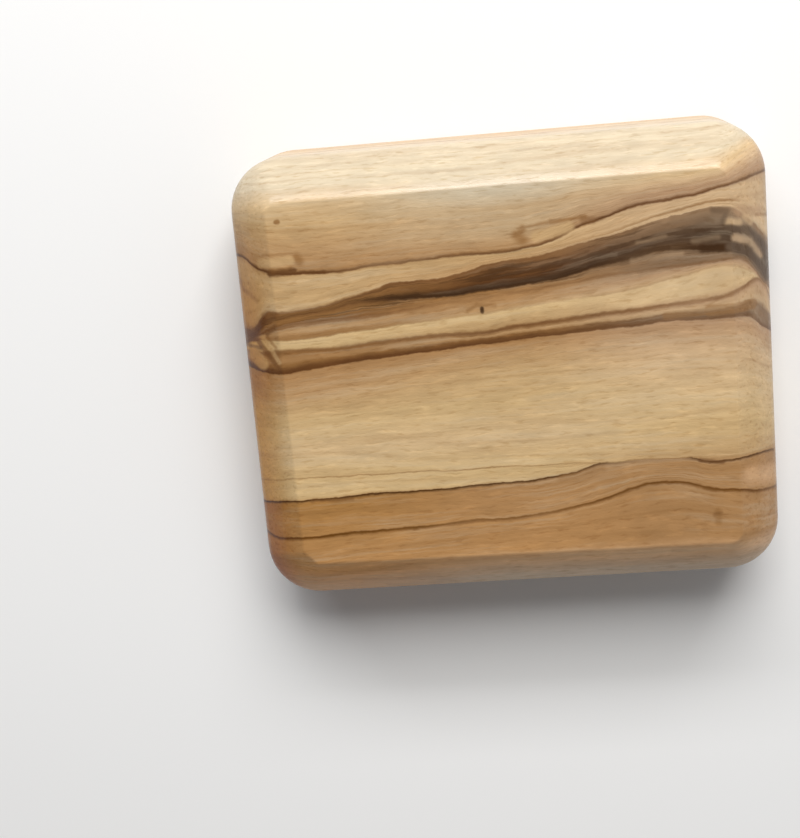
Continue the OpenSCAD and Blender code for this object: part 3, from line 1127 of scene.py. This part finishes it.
# %% Measure the hollow
RIM = 5 * MM
plate_low, plate_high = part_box("back_plate")
plate_gap = case_high.x - RIM - plate_high.x
recess_depth = plate_high.z + plate_gap
recess_length = case_size.x - 2 * RIM
recess_width = case_size.y - 2 * RIM
recess_radius = CORNER_RADIUS - RIM
tube_low, tube_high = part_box("scroll_tube")
tube_axis = Vector((0, 0, (tube_low.z + tube_high.z) / 2))
CHANNEL_HALF = 7.4 * MM
CHANNEL_END = 1 * MM
MOUTH = 0.4 * MM            # how far a mouth flares, out and in
POCKET_RADIUS = 4.05 * MM
POCKET_FLARE = 0.25 * MM
POCKET_SPARE = 0.1 * MM     # a pocket is this much deeper than its magnet, for the glue
MAGNET_NUMBERS = range(1, 5)
print("recess, mm:", [round(s / MM, 2) for s in (recess_length, recess_width, recess_depth)])


# %% Make the recess's cutters
def mouth(length, width, corner):
    """A cutter that flares a rounded opening in the bottom face."""
    wide_length, wide_width = length + 2 * MOUTH, width + 2 * MOUTH
    bm = block(wide_length, wide_width, 2 * MOUTH, corner + MOUTH, 8)
    shrink = ((length - 2 * MOUTH) / wide_length, (width - 2 * MOUTH) / wide_width, 1)
    bmesh.ops.scale(bm, vec=shrink, verts=[v for v in bm.verts if v.co.z > MOUTH])
    move(bm, (0, 0, -MOUTH))
    return object_from(bm, "cutter")


recess_bm = block(recess_length, recess_width, recess_depth + OVERCUT, recess_radius, 8)
move(recess_bm, (0, 0, -OVERCUT))
recess_cutter = object_from(recess_bm, "cutter")

channel_top = tube_axis.z + CHANNEL_HALF
channel_bm = box_from(recess_length - 2 * CHANNEL_END, 2 * CHANNEL_HALF, channel_top)
move(channel_bm, (0, 0, channel_top / 2))
ridges = [e for e in edges_at(channel_bm, channel_top) if span(e, 1) < NEAR]
soften(channel_bm, ridges, CHANNEL_HALF * 0.999, 14)    # just short of meeting in the middle
channel_cutter = object_from(channel_bm, "cutter")
print("channel's roof:", len(channel_cutter.data.polygons), "faces")

# %% Cut the hollow
pocket_cutters = []
for number in MAGNET_NUMBERS:
    low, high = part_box(f"shell_magnet_{number}")
    middle = (low + high) / 2
    depth = high.z - low.z + POCKET_SPARE
    pocket_cutters += [
        rod(POCKET_RADIUS, depth + OVERCUT, (middle.x, middle.y, low.z - OVERCUT)),
        rod(POCKET_RADIUS + 2 * POCKET_FLARE, 2 * POCKET_FLARE,
            (middle.x, middle.y, low.z - POCKET_FLARE), top_radius=POCKET_RADIUS),
    ]
shell_mouth = mouth(recess_length, recess_width, recess_radius)
cut_away(shell, [recess_cutter, shell_mouth, channel_cutter, *pocket_cutters])


def bare_faces(piece, inside):
    """Gives the second material to the faces whose middle is inside the hollow."""
    for face in piece.data.polygons:
        if inside(face.center):
            face.material_index = 1


shell.data.materials.append(LACQUERED)
shell.data.materials.append(MILLED)
bare_faces(
    shell,
    lambda c: abs(c.x) < recess_length / 2 + MOUTH
    and abs(c.y) < recess_width / 2 + MOUTH
    and NEAR / 10 < c.z < channel_top + NEAR,
)
finish_piece(shell, "shell", "front_shell")
print("shell:", len(shell.data.polygons), "faces")

# %% [markdown]
# ## The plate on the doorpost
#
# The plate stays on the wall. It is cut from the plainer wood of the same log, with a flat groove
# for the tube, four pockets for its magnets, two countersunk holes for the wall screws and two
# pilot holes for the clips' screws. The groove's cutter is wider at the top, so that its long
# edges come out chamfered in the same cut.

# %% Shape the plate and its groove
PLATE_CORNER, PLATE_EDGE = 3.7 * MM, 0.5 * MM
GROOVE_FLOOR = plate_high.z - 3.4 * MM
GROOVE_HALF = 7.5 * MM
plate_size = plate_high - plate_low
plate_bm = block(plate_size.x, plate_size.y, plate_size.z, PLATE_CORNER, 8)
soften(plate_bm, edges_at(plate_bm, plate_high.z), PLATE_EDGE, 3)
soften(plate_bm, edges_at(plate_bm, plate_low.z), PLATE_EDGE, 3)
plate = object_from(plate_bm, "olive_plate")

groove_bm = bmesh.new()
flare = 1.5 * MM        # how far the cutter goes on above the plate, leaning outwards
groove_profile = [
    (-GROOVE_HALF - flare, plate_high.z - MOUTH + flare), (-GROOVE_HALF, plate_high.z - MOUTH),
    (-GROOVE_HALF, GROOVE_FLOOR), (GROOVE_HALF, GROOVE_FLOOR), (GROOVE_HALF, plate_high.z - MOUTH),
    (GROOVE_HALF + flare, plate_high.z - MOUTH + flare),
]
groove_verts = [groove_bm.verts.new((-case_high.x, y, z)) for y, z in groove_profile]
groove_end = groove_bm.faces.new(groove_verts)
pushed = bmesh.ops.extrude_face_region(groove_bm, geom=[groove_end])
move(groove_bm, (case_size.x, 0, 0), new_verts(pushed))
bmesh.ops.recalc_face_normals(groove_bm, faces=groove_bm.faces)
groove_cutter = object_from(groove_bm, "cutter")
print("plate, mm:", [round(side / MM, 2) for side in plate_size])

# %% Cut the groove and the plate's holes
WALL_SCREW_X = 27 * MM
WALL_HOLE_RADIUS = 2.25 * MM
COUNTERSINK_RADIUS = 4.3 * MM
COUNTERSINK_RISE = 0.5 * MM         # the sink's cutter goes on flaring this far above the floor
PILOT_RADIUS, PILOT_DEPTH = 1 * MM, 3.4 * MM
POCKET_CUT = 5 * MM                 # long enough to leave the plate at the top

clip_places = []
for number in (1, 2):
    low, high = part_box(f"tube_clip_{number}")
    clip_places.append(Vector(((low.x + high.x) / 2, 0, low.z)))
sink = COUNTERSINK_RADIUS - WALL_HOLE_RADIUS
plate_cutters = [groove_cutter]
for side in (-1, 1):
    hole = turned([
        (0, -OVERCUT), (WALL_HOLE_RADIUS, -OVERCUT), (WALL_HOLE_RADIUS, GROOVE_FLOOR - sink),
        (COUNTERSINK_RADIUS + COUNTERSINK_RISE, GROOVE_FLOOR + COUNTERSINK_RISE),
        (0, GROOVE_FLOOR + COUNTERSINK_RISE),
    ])
    move(hole, (side * WALL_SCREW_X, 0, 0))
    plate_cutters.append(object_from(hole, "cutter"))
for place in clip_places:
    foot = place - Vector((0, 0, PILOT_DEPTH))
    plate_cutters.append(rod(PILOT_RADIUS, PILOT_DEPTH + OVERCUT, foot, 24))
for number in MAGNET_NUMBERS:
    low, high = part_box(f"plate_magnet_{number}")
    middle = (low + high) / 2
    plate_cutters += [
        rod(POCKET_RADIUS, POCKET_CUT, (middle.x, middle.y, low.z - POCKET_SPARE)),
        rod(POCKET_RADIUS, 2 * POCKET_FLARE, (middle.x, middle.y, high.z - POCKET_FLARE),
            top_radius=POCKET_RADIUS + 2 * POCKET_FLARE),
    ]
cut_away(plate, plate_cutters)
plate.data.materials.append(OILED)
plate.data.materials.append(MILLED)
bare_faces(
    plate,
    lambda c: (abs(c.y) < GROOVE_HALF + NEAR and 0.6 * MM < c.z < plate_high.z - MOUTH)
    or (abs(c.x) < plate_size.x / 2 - 1 * MM and abs(c.y) < plate_size.y / 2 - 1 * MM
        and 0.1 * MM < c.z < plate_high.z - 0.3 * MM),
)
finish_piece(plate, "plate", "back_plate")
print("plate:", len(plate.data.polygons), "faces")

# %% [markdown]
# ## Nickel and brass
#
# Both metals start from the same group, `metal_wear`: long fine scratches that all run in slightly
# different directions, and a cloudy mottling. Nickel plating is smooth and a little warm. Rolled
# brass strip is yellower, duller, and darkens in patches where it has been touched.


# %% Metal wear and the two metals
def metal_wear_group():
    """Scratches and mottling, both 0 to 1, from a point in mm."""
    tree, given, out = new_group(
        "metal_wear", {"Point": "Vector", "Rub": "Vector"}, {"Scratch": "Float", "Mottle": "Float"}
    )
    rubbed = multiplied(tree, given["Point"], given["Rub"])
    lines = noise(tree, rubbed, detail=3.0, distortion=0.4)
    cloud = noise(tree, given["Point"], 0.55, detail=4.0, roughness=0.6)
    tree.links.new(ease_between(tree, lines, 0.5, 0.75), out["Scratch"])
    tree.links.new(ease_between(tree, cloud, 0.38, 0.68), out["Mottle"])
    return tree


METAL_WEAR_GROUP = metal_wear_group()


def metal(name, clean, dull, roughness, rub):
    """A metal whose colour goes from clean to dull where it is mottled."""
    material, tree, surface = new_material(name)
    wear = use_group(tree, METAL_WEAR_GROUP, {"Point": in_millimetres(tree), "Rub": rub})
    scratch, mottle = wear.outputs["Scratch"], wear.outputs["Mottle"]
    rough = calc(tree, "MULTIPLY_ADD", mottle, 0.14, roughness)
    feed(tree, surface, {
        "Base Color": blend_colour(tree, mottle, clean, dull),
        "Roughness": calc(tree, "MULTIPLY_ADD", scratch, 0.12, rough),
        "Normal": bumped(tree, scratch, 0.12, 0.05 * MM),
        "Metallic": 1.0,
    })
    return material


NICKEL = metal("nickel_plate", tone(222, 219, 213), tone(206, 202, 195), 0.2, (0.9, 7.0, 1.0))
BRASS = metal("rolled_brass", tone(236, 204, 132), tone(214, 172, 100), 0.3, (6.0, 0.7, 0.9))
print("metals:", NICKEL.name, BRASS.name)

# %% [markdown]
# ## The magnets
#
# Disc magnets are pressed, ground flat and then plated, which leaves rounded rims and a faint
# ring where the press closed. A profile is spun round Z: that gives clean quads round the rim,
# where a bevelled cylinder would pinch. All eight share one mesh recipe and differ in place only.

# %% Turn the magnets
MAGNET_RADIUS = 4 * MM
MAGNET_EDGE = 0.3 * MM
RING_RADIUS, RING_SLOPE, RING_DEPTH = 3.1 * MM, 0.15 * MM, 0.03 * MM


def magnet_disc(height):
    """A disc with rounded rims and a shallow pressed ring on each side."""
    rim = MAGNET_RADIUS - MAGNET_EDGE
    lower = [(0, RING_DEPTH), (RING_RADIUS, RING_DEPTH), (RING_RADIUS + RING_SLOPE, 0)]
    lower += quarter((rim, MAGNET_EDGE), MAGNET_EDGE, -90, 0)
    upper = [(radius, height - along) for radius, along in reversed(lower)]
    return turned(lower + upper)


for owner in ("shell", "plate"):
    for number in MAGNET_NUMBERS:
        node = f"{owner}_magnet_{number}"
        low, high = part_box(node)
        disc = magnet_disc(high.z - low.z)
        middle = (low + high) / 2
        move(disc, (middle.x, middle.y, low.z))
        magnet = object_from(disc, f"{node}_disc")
        magnet.data.materials.append(NICKEL)
        finish_piece(magnet, owner, node)
print("magnet faces:", len(magnet.data.polygons))

# %% [markdown]
# ## The spring clips
#
# Each clip is a strip of brass bent to a flat foot, two legs and two arms that hug the tube up to
# its widest line, with lips that lead the tube in. Bending is what an extruded line imitates best:
# the bends are drawn once as a path through the strip's middle, the path is pushed out to the
# strip's width, and Solidify gives the same thickness everywhere, as in a real strip.

# %% Bend the clips
CLIP_WIDTH = 8 * MM
STRIP = 0.6 * MM
ARM_RADIUS = 6.4 * MM       # to the middle of the strip
LEG_ANGLE = 40              # degrees below the tube's widest line where the arms begin
FOOT_HALF = 2.72 * MM       # from the screw to the first bend
LIP_OUT, LIP_UP = 0.4 * MM, 0.8 * MM
LIP_CORNER = 0.45 * MM
BEND_RADIUS = 0.7 * MM
CLIP_HOLE_RADIUS = 1.1 * MM
BURR = 0.08 * MM            # what is left of the cut edges after tumbling
rise = tube_axis.z - GROOVE_FLOOR


def clip_half(side):
    """The path of one half of the strip, from the end of the foot to the lip."""
    path = [(FOOT_HALF, STRIP / 2)]
    path += quarter((0, rise), ARM_RADIUS, -LEG_ANGLE, 0, 10)
    path.append((ARM_RADIUS + LIP_OUT, rise + LIP_UP))
    return [(side * y, z) for y, z in path]


def bent_strip():
    """The open strip, standing in the YZ plane and pushed out along X."""
    bm = bmesh.new()
    path = list(reversed(clip_half(-1))) + clip_half(1)
    points = [bm.verts.new((-CLIP_WIDTH / 2, y, z)) for y, z in path]
    lines = [bm.edges.new(pair) for pair in zip(points, points[1:])]
    pushed = bmesh.ops.extrude_edge_only(bm, edges=lines)
    move(bm, (CLIP_WIDTH, 0, 0), new_verts(pushed))
    arm_foot = rise - ARM_RADIUS * math.sin(math.radians(LEG_ANGLE - 1))
    bends = [e for e in bm.edges if span(e, 0) > CLIP_WIDTH / 2 and e.verts[0].co.z < arm_foot]
    soften(bm, bends, BEND_RADIUS, 4)
    corners = [v for v in bm.verts if abs(v.co.z - rise - LIP_UP) < NEAR]
    soften(bm, corners, LIP_CORNER, 4, affect="VERTICES")
    bmesh.ops.recalc_face_normals(bm, faces=bm.faces)
    return bm


for number, place in enumerate(clip_places, 1):
    strip = bent_strip()
    move(strip, place)
    clip = object_from(strip, f"spring_clip_{number}")
    thickness = clip.modifiers.new("strip", "SOLIDIFY")
    thickness.thickness = STRIP
    thickness.offset = 0
    thickness.use_even_offset = True
    cut_away(clip, [rod(CLIP_HOLE_RADIUS, 3 * OVERCUT, place - Vector((0, 0, OVERCUT)), 32)])
    burr = clip.modifiers.new("burr", "BEVEL")
    burr.width = BURR
    burr.segments = 2
    burr.limit_method = "ANGLE"
    burr.angle_limit = math.radians(50)
    clip.data.materials.append(BRASS)
    finish_piece(clip, "plate", f"tube_clip_{number}")
    print("clip", number, "faces:", len(clip.data.polygons))

# %% [markdown]
# ## The clips' screws
#
# A small brass wood screw holds each clip's foot. Its head is low, because the tube passes just
# above it. The head is spun as a shallow dome and a slot is cut across it. The thread is turned
# as a row of ridges, which is all that could ever be seen of it.

# %% Turn the clip screws
HEAD_RADIUS, NECK_RADIUS = 2 * MM, 0.8 * MM
CREST_RADIUS, ROOT_RADIUS, THREAD_PITCH = 0.98 * MM, 0.72 * MM, 0.55 * MM
TIP_LENGTH = 0.4 * MM
SLOT_WIDTH, SLOT_DEPTH, SLOT_LENGTH = 0.5 * MM, 0.35 * MM, 6 * MM


def screw_profile(low, high, head_base, shoulder):
    """From the tip up: a tapering thread, the neck, and a shallow dome."""
    profile = [(0, low), (0.3 * MM, low + 0.05 * MM)]
    for turn in range(int((shoulder - low - TIP_LENGTH) / THREAD_PITCH)):
        root = low + TIP_LENGTH + turn * THREAD_PITCH
        taper = min(1.0, 0.6 + 0.14 * turn)
        profile += [(ROOT_RADIUS * taper, root), (CREST_RADIUS * taper, root + THREAD_PITCH / 2)]
    return profile + [
        (NECK_RADIUS, shoulder), (NECK_RADIUS, head_base),
        (HEAD_RADIUS - 0.05 * MM, head_base), (HEAD_RADIUS, head_base + 0.1 * MM),
        (HEAD_RADIUS - 0.06 * MM, head_base + 0.28 * MM),
        (HEAD_RADIUS - 0.3 * MM, head_base + 0.48 * MM), (1.1 * MM, high - 0.04 * MM), (0, high),
    ]


for number, place in enumerate(clip_places, 1):
    node = f"clip_screw_{number}"
    low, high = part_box(node)
    screw_bm = turned(screw_profile(low.z, high.z, place.z + STRIP, place.z), steps=40)
    move(screw_bm, (place.x, 0, 0))
    screw = object_from(screw_bm, f"{node}_turned")
    slot_bm = box_from(SLOT_WIDTH, SLOT_LENGTH, 2 * SLOT_DEPTH)
    stopped_at = Matrix.Rotation(0.5 + 0.9 * number, 3, "Z")     # no two screws stop alike
    bmesh.ops.rotate(slot_bm, cent=(0, 0, 0), matrix=stopped_at, verts=slot_bm.verts)
    move(slot_bm, (place.x, 0, high.z))
    cut_away(screw, [object_from(slot_bm, "cutter")])
    screw.data.materials.append(BRASS)
    finish_piece(screw, "plate", node)
print("screw faces:", len(screw.data.polygons))

# %% [markdown]
# ## The clear tube
#
# The tube is moulded clear plastic: closed at one end, with rounded rims and a small sunk mark
# where the plastic came in. Its outside and inside are one closed profile, spun into one solid.
# A single sheet with a fake thickness would bend the light wrongly, and the parchment inside
# would look printed on it.

# %% Turn the tube
tube_length = tube_high.x - tube_low.x
TUBE_RADIUS, BORE_RADIUS, END_WALL = 6 * MM, 5 * MM, 1.2 * MM
END_ROUND, OUTER_ROUND, INNER_ROUND, FLOOR_ROUND = 0.9 * MM, 0.35 * MM, 0.2 * MM, 0.6 * MM
tube_start = Vector((tube_low.x, 0, tube_axis.z))
outside = [(0, 0.2 * MM), (0.9 * MM, 0.2 * MM), (1.2 * MM, 0)]        # the sunk mark first
outside += quarter((TUBE_RADIUS - END_ROUND, END_ROUND), END_ROUND, -90, 0, 6)
rim = quarter((TUBE_RADIUS - OUTER_ROUND, tube_length - OUTER_ROUND), OUTER_ROUND, 0, 90)
rim += quarter((BORE_RADIUS + INNER_ROUND, tube_length - INNER_ROUND), INNER_ROUND, 90, 180)
bore = quarter((BORE_RADIUS - FLOOR_ROUND, END_WALL + FLOOR_ROUND), FLOOR_ROUND, 0, -90)
tube_bm = lay_along(turned(outside + rim + bore + [(0, END_WALL)], steps=96), tube_start)
tube = object_from(tube_bm, "clear_tube")
print("tube, mm:", round(tube_length / MM, 2))

# %% Make it clear
CLEAR, clear_tree, clear_surface = new_material("clear_plastic")
handling = use_group(
    clear_tree, METAL_WEAR_GROUP, {"Point": in_millimetres(clear_tree), "Rub": (0.5, 6.0, 6.0)}
)
clear_rough = calc(clear_tree, "MULTIPLY_ADD", handling.outputs["Scratch"], 0.1, 0.02)
clear_rough = calc(clear_tree, "MULTIPLY_ADD", handling.outputs["Mottle"], 0.04, clear_rough)
feed(clear_tree, clear_surface, {
    "Roughness": clear_rough,
    "Base Color": (0.985, 0.99, 0.99, 1),
    "Transmission Weight": 1.0,
    "IOR": 1.49,
})
tube.data.materials.append(CLEAR)
finish_piece(tube, "tube", "scroll_tube")
print("tube faces:", len(tube.data.polygons))

# %% [markdown]
# ## The cork stopper
#
# Cork is built of grains: pale cells, with brown flecks where the bark's pores ran. A Voronoi
# texture lays out the cells, its distance darkens their borders, and a noise places the pores.
# The head is a little wider than the plug, so that it can be gripped.

# %% Turn the stopper
stopper_low, stopper_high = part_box("tube_stopper")
HEAD_LENGTH = stopper_high.x - tube_high.x
PLUG_LENGTH = tube_high.x - stopper_low.x
PLUG_RADIUS, GRIP_RADIUS = 4.95 * MM, 5.8 * MM
PLUG_ROUND, GRIP_ROUND = 0.4 * MM, 0.45 * MM
plug = [(0, -PLUG_LENGTH + 0.05 * MM), (2.5 * MM, -PLUG_LENGTH)]
plug += quarter((PLUG_RADIUS - PLUG_ROUND, -PLUG_LENGTH + PLUG_ROUND), PLUG_ROUND, -90, 0)
head = [(PLUG_RADIUS, 0.03 * MM), (GRIP_RADIUS - 0.12 * MM, 0.03 * MM), (GRIP_RADIUS, 0.15 * MM)]
head += quarter((GRIP_RADIUS - GRIP_ROUND, HEAD_LENGTH - GRIP_ROUND), GRIP_ROUND, 0, 90)
head += [(3 * MM, HEAD_LENGTH), (0, HEAD_LENGTH - 0.05 * MM)]
stopper_bm = turned(plug + head, steps=72)
stopper_start = Vector((tube_high.x, 0, tube_axis.z))
stopper = object_from(lay_along(stopper_bm, stopper_start), "cork_stopper")
print("plug and head, mm:", round(PLUG_LENGTH / MM, 2), round(HEAD_LENGTH / MM, 2))

# %% Make the cork
CORK_PALE, CORK_TAN = tone(206, 166, 118), tone(178, 134, 88)
CORK_BORDER, CORK_PORE = tone(150, 106, 64), tone(92, 58, 34)

CORK, cork_tree, cork_surface = new_material("cork")
cork_mm = in_millimetres(cork_tree)
cells = shader_node(cork_tree, "TexVoronoi", {"Vector": cork_mm, "Scale": 1.5, "Randomness": 1.0})
pores = noise(cork_tree, cork_mm, 1.1, detail=3.0, roughness=0.6)
cell_tint = shader_node(cork_tree, "SeparateColor", {0: cells.outputs["Color"]})
cork_colour = blend_colour(cork_tree, cell_tint.outputs[0], CORK_PALE, CORK_TAN)
cork_edge = ease_between(cork_tree, cells.outputs["Distance"], 0.35, 0.75)
cork_colour = blend_colour(
    cork_tree, calc(cork_tree, "MULTIPLY", cork_edge, 0.4), cork_colour, CORK_BORDER
)
pore_mask = ease_between(cork_tree, pores, 0.6, 0.7)
cork_colour = blend_colour(
    cork_tree, calc(cork_tree, "MULTIPLY", pore_mask, 0.75), cork_colour, CORK_PORE
)
cork_height = calc(cork_tree, "MULTIPLY_ADD", pore_mask, -1.0, cork_edge)
feed(cork_tree, cork_surface, {
    "Base Color": cork_colour,
    "Normal": bumped(cork_tree, cork_height, 0.5, 0.15 * MM),
    "Roughness": calc(cork_tree, "MULTIPLY_ADD", pore_mask, 0.1, 0.82),
})
stopper.data.materials.append(CORK)
finish_piece(stopper, "stopper", "tube_stopper")
print("stopper faces:", len(stopper.data.polygons))

# %% [markdown]
# ## The parchment
#
# The scroll is a sheet of parchment rolled two and a half turns. Its end is a spiral, and a spiral
# is one formula: the radius shrinks by the same amount each turn. The spiral is drawn as a line of
# short edges, pushed along the tube, and given the sheet's thickness with Solidify. Each turn is
# set back by a different amount at the ends, because nobody rolls a sheet perfectly square.
# The writing is on the inside of the roll and isn't shown.

# %% Roll the parchment
roll_low, roll_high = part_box("parchment_scroll")
SHEET = 0.28 * MM
ROLL_RADIUS = 4.8 * MM
ROLL_PITCH = 0.5 * MM
ROLL_TURNS = 2.5
STEPS_PER_TURN = 60
SEGMENTS = 24               # along the roll, so that it can ripple
roll_length = roll_high.x - roll_low.x

spiral_bm = bmesh.new()
spiral = []
for step in range(int(ROLL_TURNS * STEPS_PER_TURN) + 1):
    turn = step / STEPS_PER_TURN
    reach = ROLL_RADIUS - SHEET / 2 - ROLL_PITCH * turn
    angle = turn * math.tau
    spiral.append(spiral_bm.verts.new((reach * math.cos(angle), reach * math.sin(angle), 0)))
spiral_edges = [spiral_bm.edges.new(pair) for pair in zip(spiral, spiral[1:])]
front = spiral_edges
for _ in range(SEGMENTS):
    pushed = bmesh.ops.extrude_edge_only(spiral_bm, edges=front)
    moved = new_verts(pushed)
    move(spiral_bm, (0, 0, roll_length / SEGMENTS), moved)
    edges = [e for e in pushed["geom"] if isinstance(e, bmesh.types.BMEdge)]
    front = [e for e in edges if all(v in moved for v in e.verts)]
print("spiral:", len(spiral_bm.faces), "faces")

# %% Crease the roll and thicken it
SETBACK, SETBACK_SWING = 0.25, 0.22     # mm, at the ends of each turn
RIPPLE = 0.05 * MM

for vert in spiral_bm.verts:
    reach = vert.co.xy.length
    turn = (ROLL_RADIUS - reach) / ROLL_PITCH
    setback = (SETBACK + SETBACK_SWING * math.sin(2.3 * turn)) * MM
    along = vert.co.z / roll_length
    vert.co.z += setback * (1 - 2 * along)
    ripple = RIPPLE * math.sin(3 * math.atan2(vert.co.y, vert.co.x) + 9 * along + 2 * turn)
    vert.co.xy *= 1 - (RIPPLE + ripple) / reach
bmesh.ops.recalc_face_normals(spiral_bm, faces=spiral_bm.faces)
roll_start = Vector((roll_low.x, 0, tube_axis.z))
scroll = object_from(lay_along(spiral_bm, roll_start), "rolled_parchment")
skin = scroll.modifiers.new("sheet", "SOLIDIFY")
skin.thickness = SHEET * 0.9
skin.offset = 0
print("roll, mm:", round(roll_length / MM, 2))

# %% Make the parchment
SKIN_PALE, SKIN_WARM = tone(232, 216, 180), tone(214, 190, 146)
SKIN_VEIN, SKIN_DOT = tone(190, 158, 112), tone(160, 122, 82)

PARCHMENT, skin_tree, skin_surface = new_material("parchment")
skin_mm = in_millimetres(skin_tree)
cloud = noise(skin_tree, skin_mm, 0.16, detail=5.0, roughness=0.62)
follicles = shader_node(
    skin_tree, "TexVoronoi", {"Vector": skin_mm, "Scale": 1.8, "Randomness": 1.0}
)
veins = noise(skin_tree, skin_mm, 0.35, detail=2.0, distortion=2.5)
cloudy = ease_between(skin_tree, cloud, 0.35, 0.65)
skin_colour = blend_colour(skin_tree, cloudy, SKIN_PALE, SKIN_WARM)
vein_mask = calc(skin_tree, "ABSOLUTE", calc(skin_tree, "SUBTRACT", veins, 0.5))
vein_mask = calc(skin_tree, "SUBTRACT", 1.0, ease_between(skin_tree, vein_mask, 0.0, 0.03))
skin_colour = blend_colour(
    skin_tree, calc(skin_tree, "MULTIPLY", vein_mask, 0.25), skin_colour, SKIN_VEIN
)
dot_mask = ease_between(skin_tree, follicles.outputs["Distance"], 0.16, 0.05)
skin_colour = blend_colour(
    skin_tree, calc(skin_tree, "MULTIPLY", dot_mask, 0.45), skin_colour, SKIN_DOT
)
skin_height = calc(skin_tree, "MULTIPLY_ADD", dot_mask, -0.6, cloud)
feed(skin_tree, skin_surface, {
    "Base Color": skin_colour,
    "Roughness": calc(skin_tree, "MULTIPLY_ADD", cloud, 0.25, 0.45),
    "Normal": bumped(skin_tree, skin_height, 0.4, 0.1 * MM),
})
scroll.data.materials.append(PARCHMENT)
finish_piece(scroll, "tube", "parchment_scroll")
print("parchment faces:", len(scroll.data.polygons))
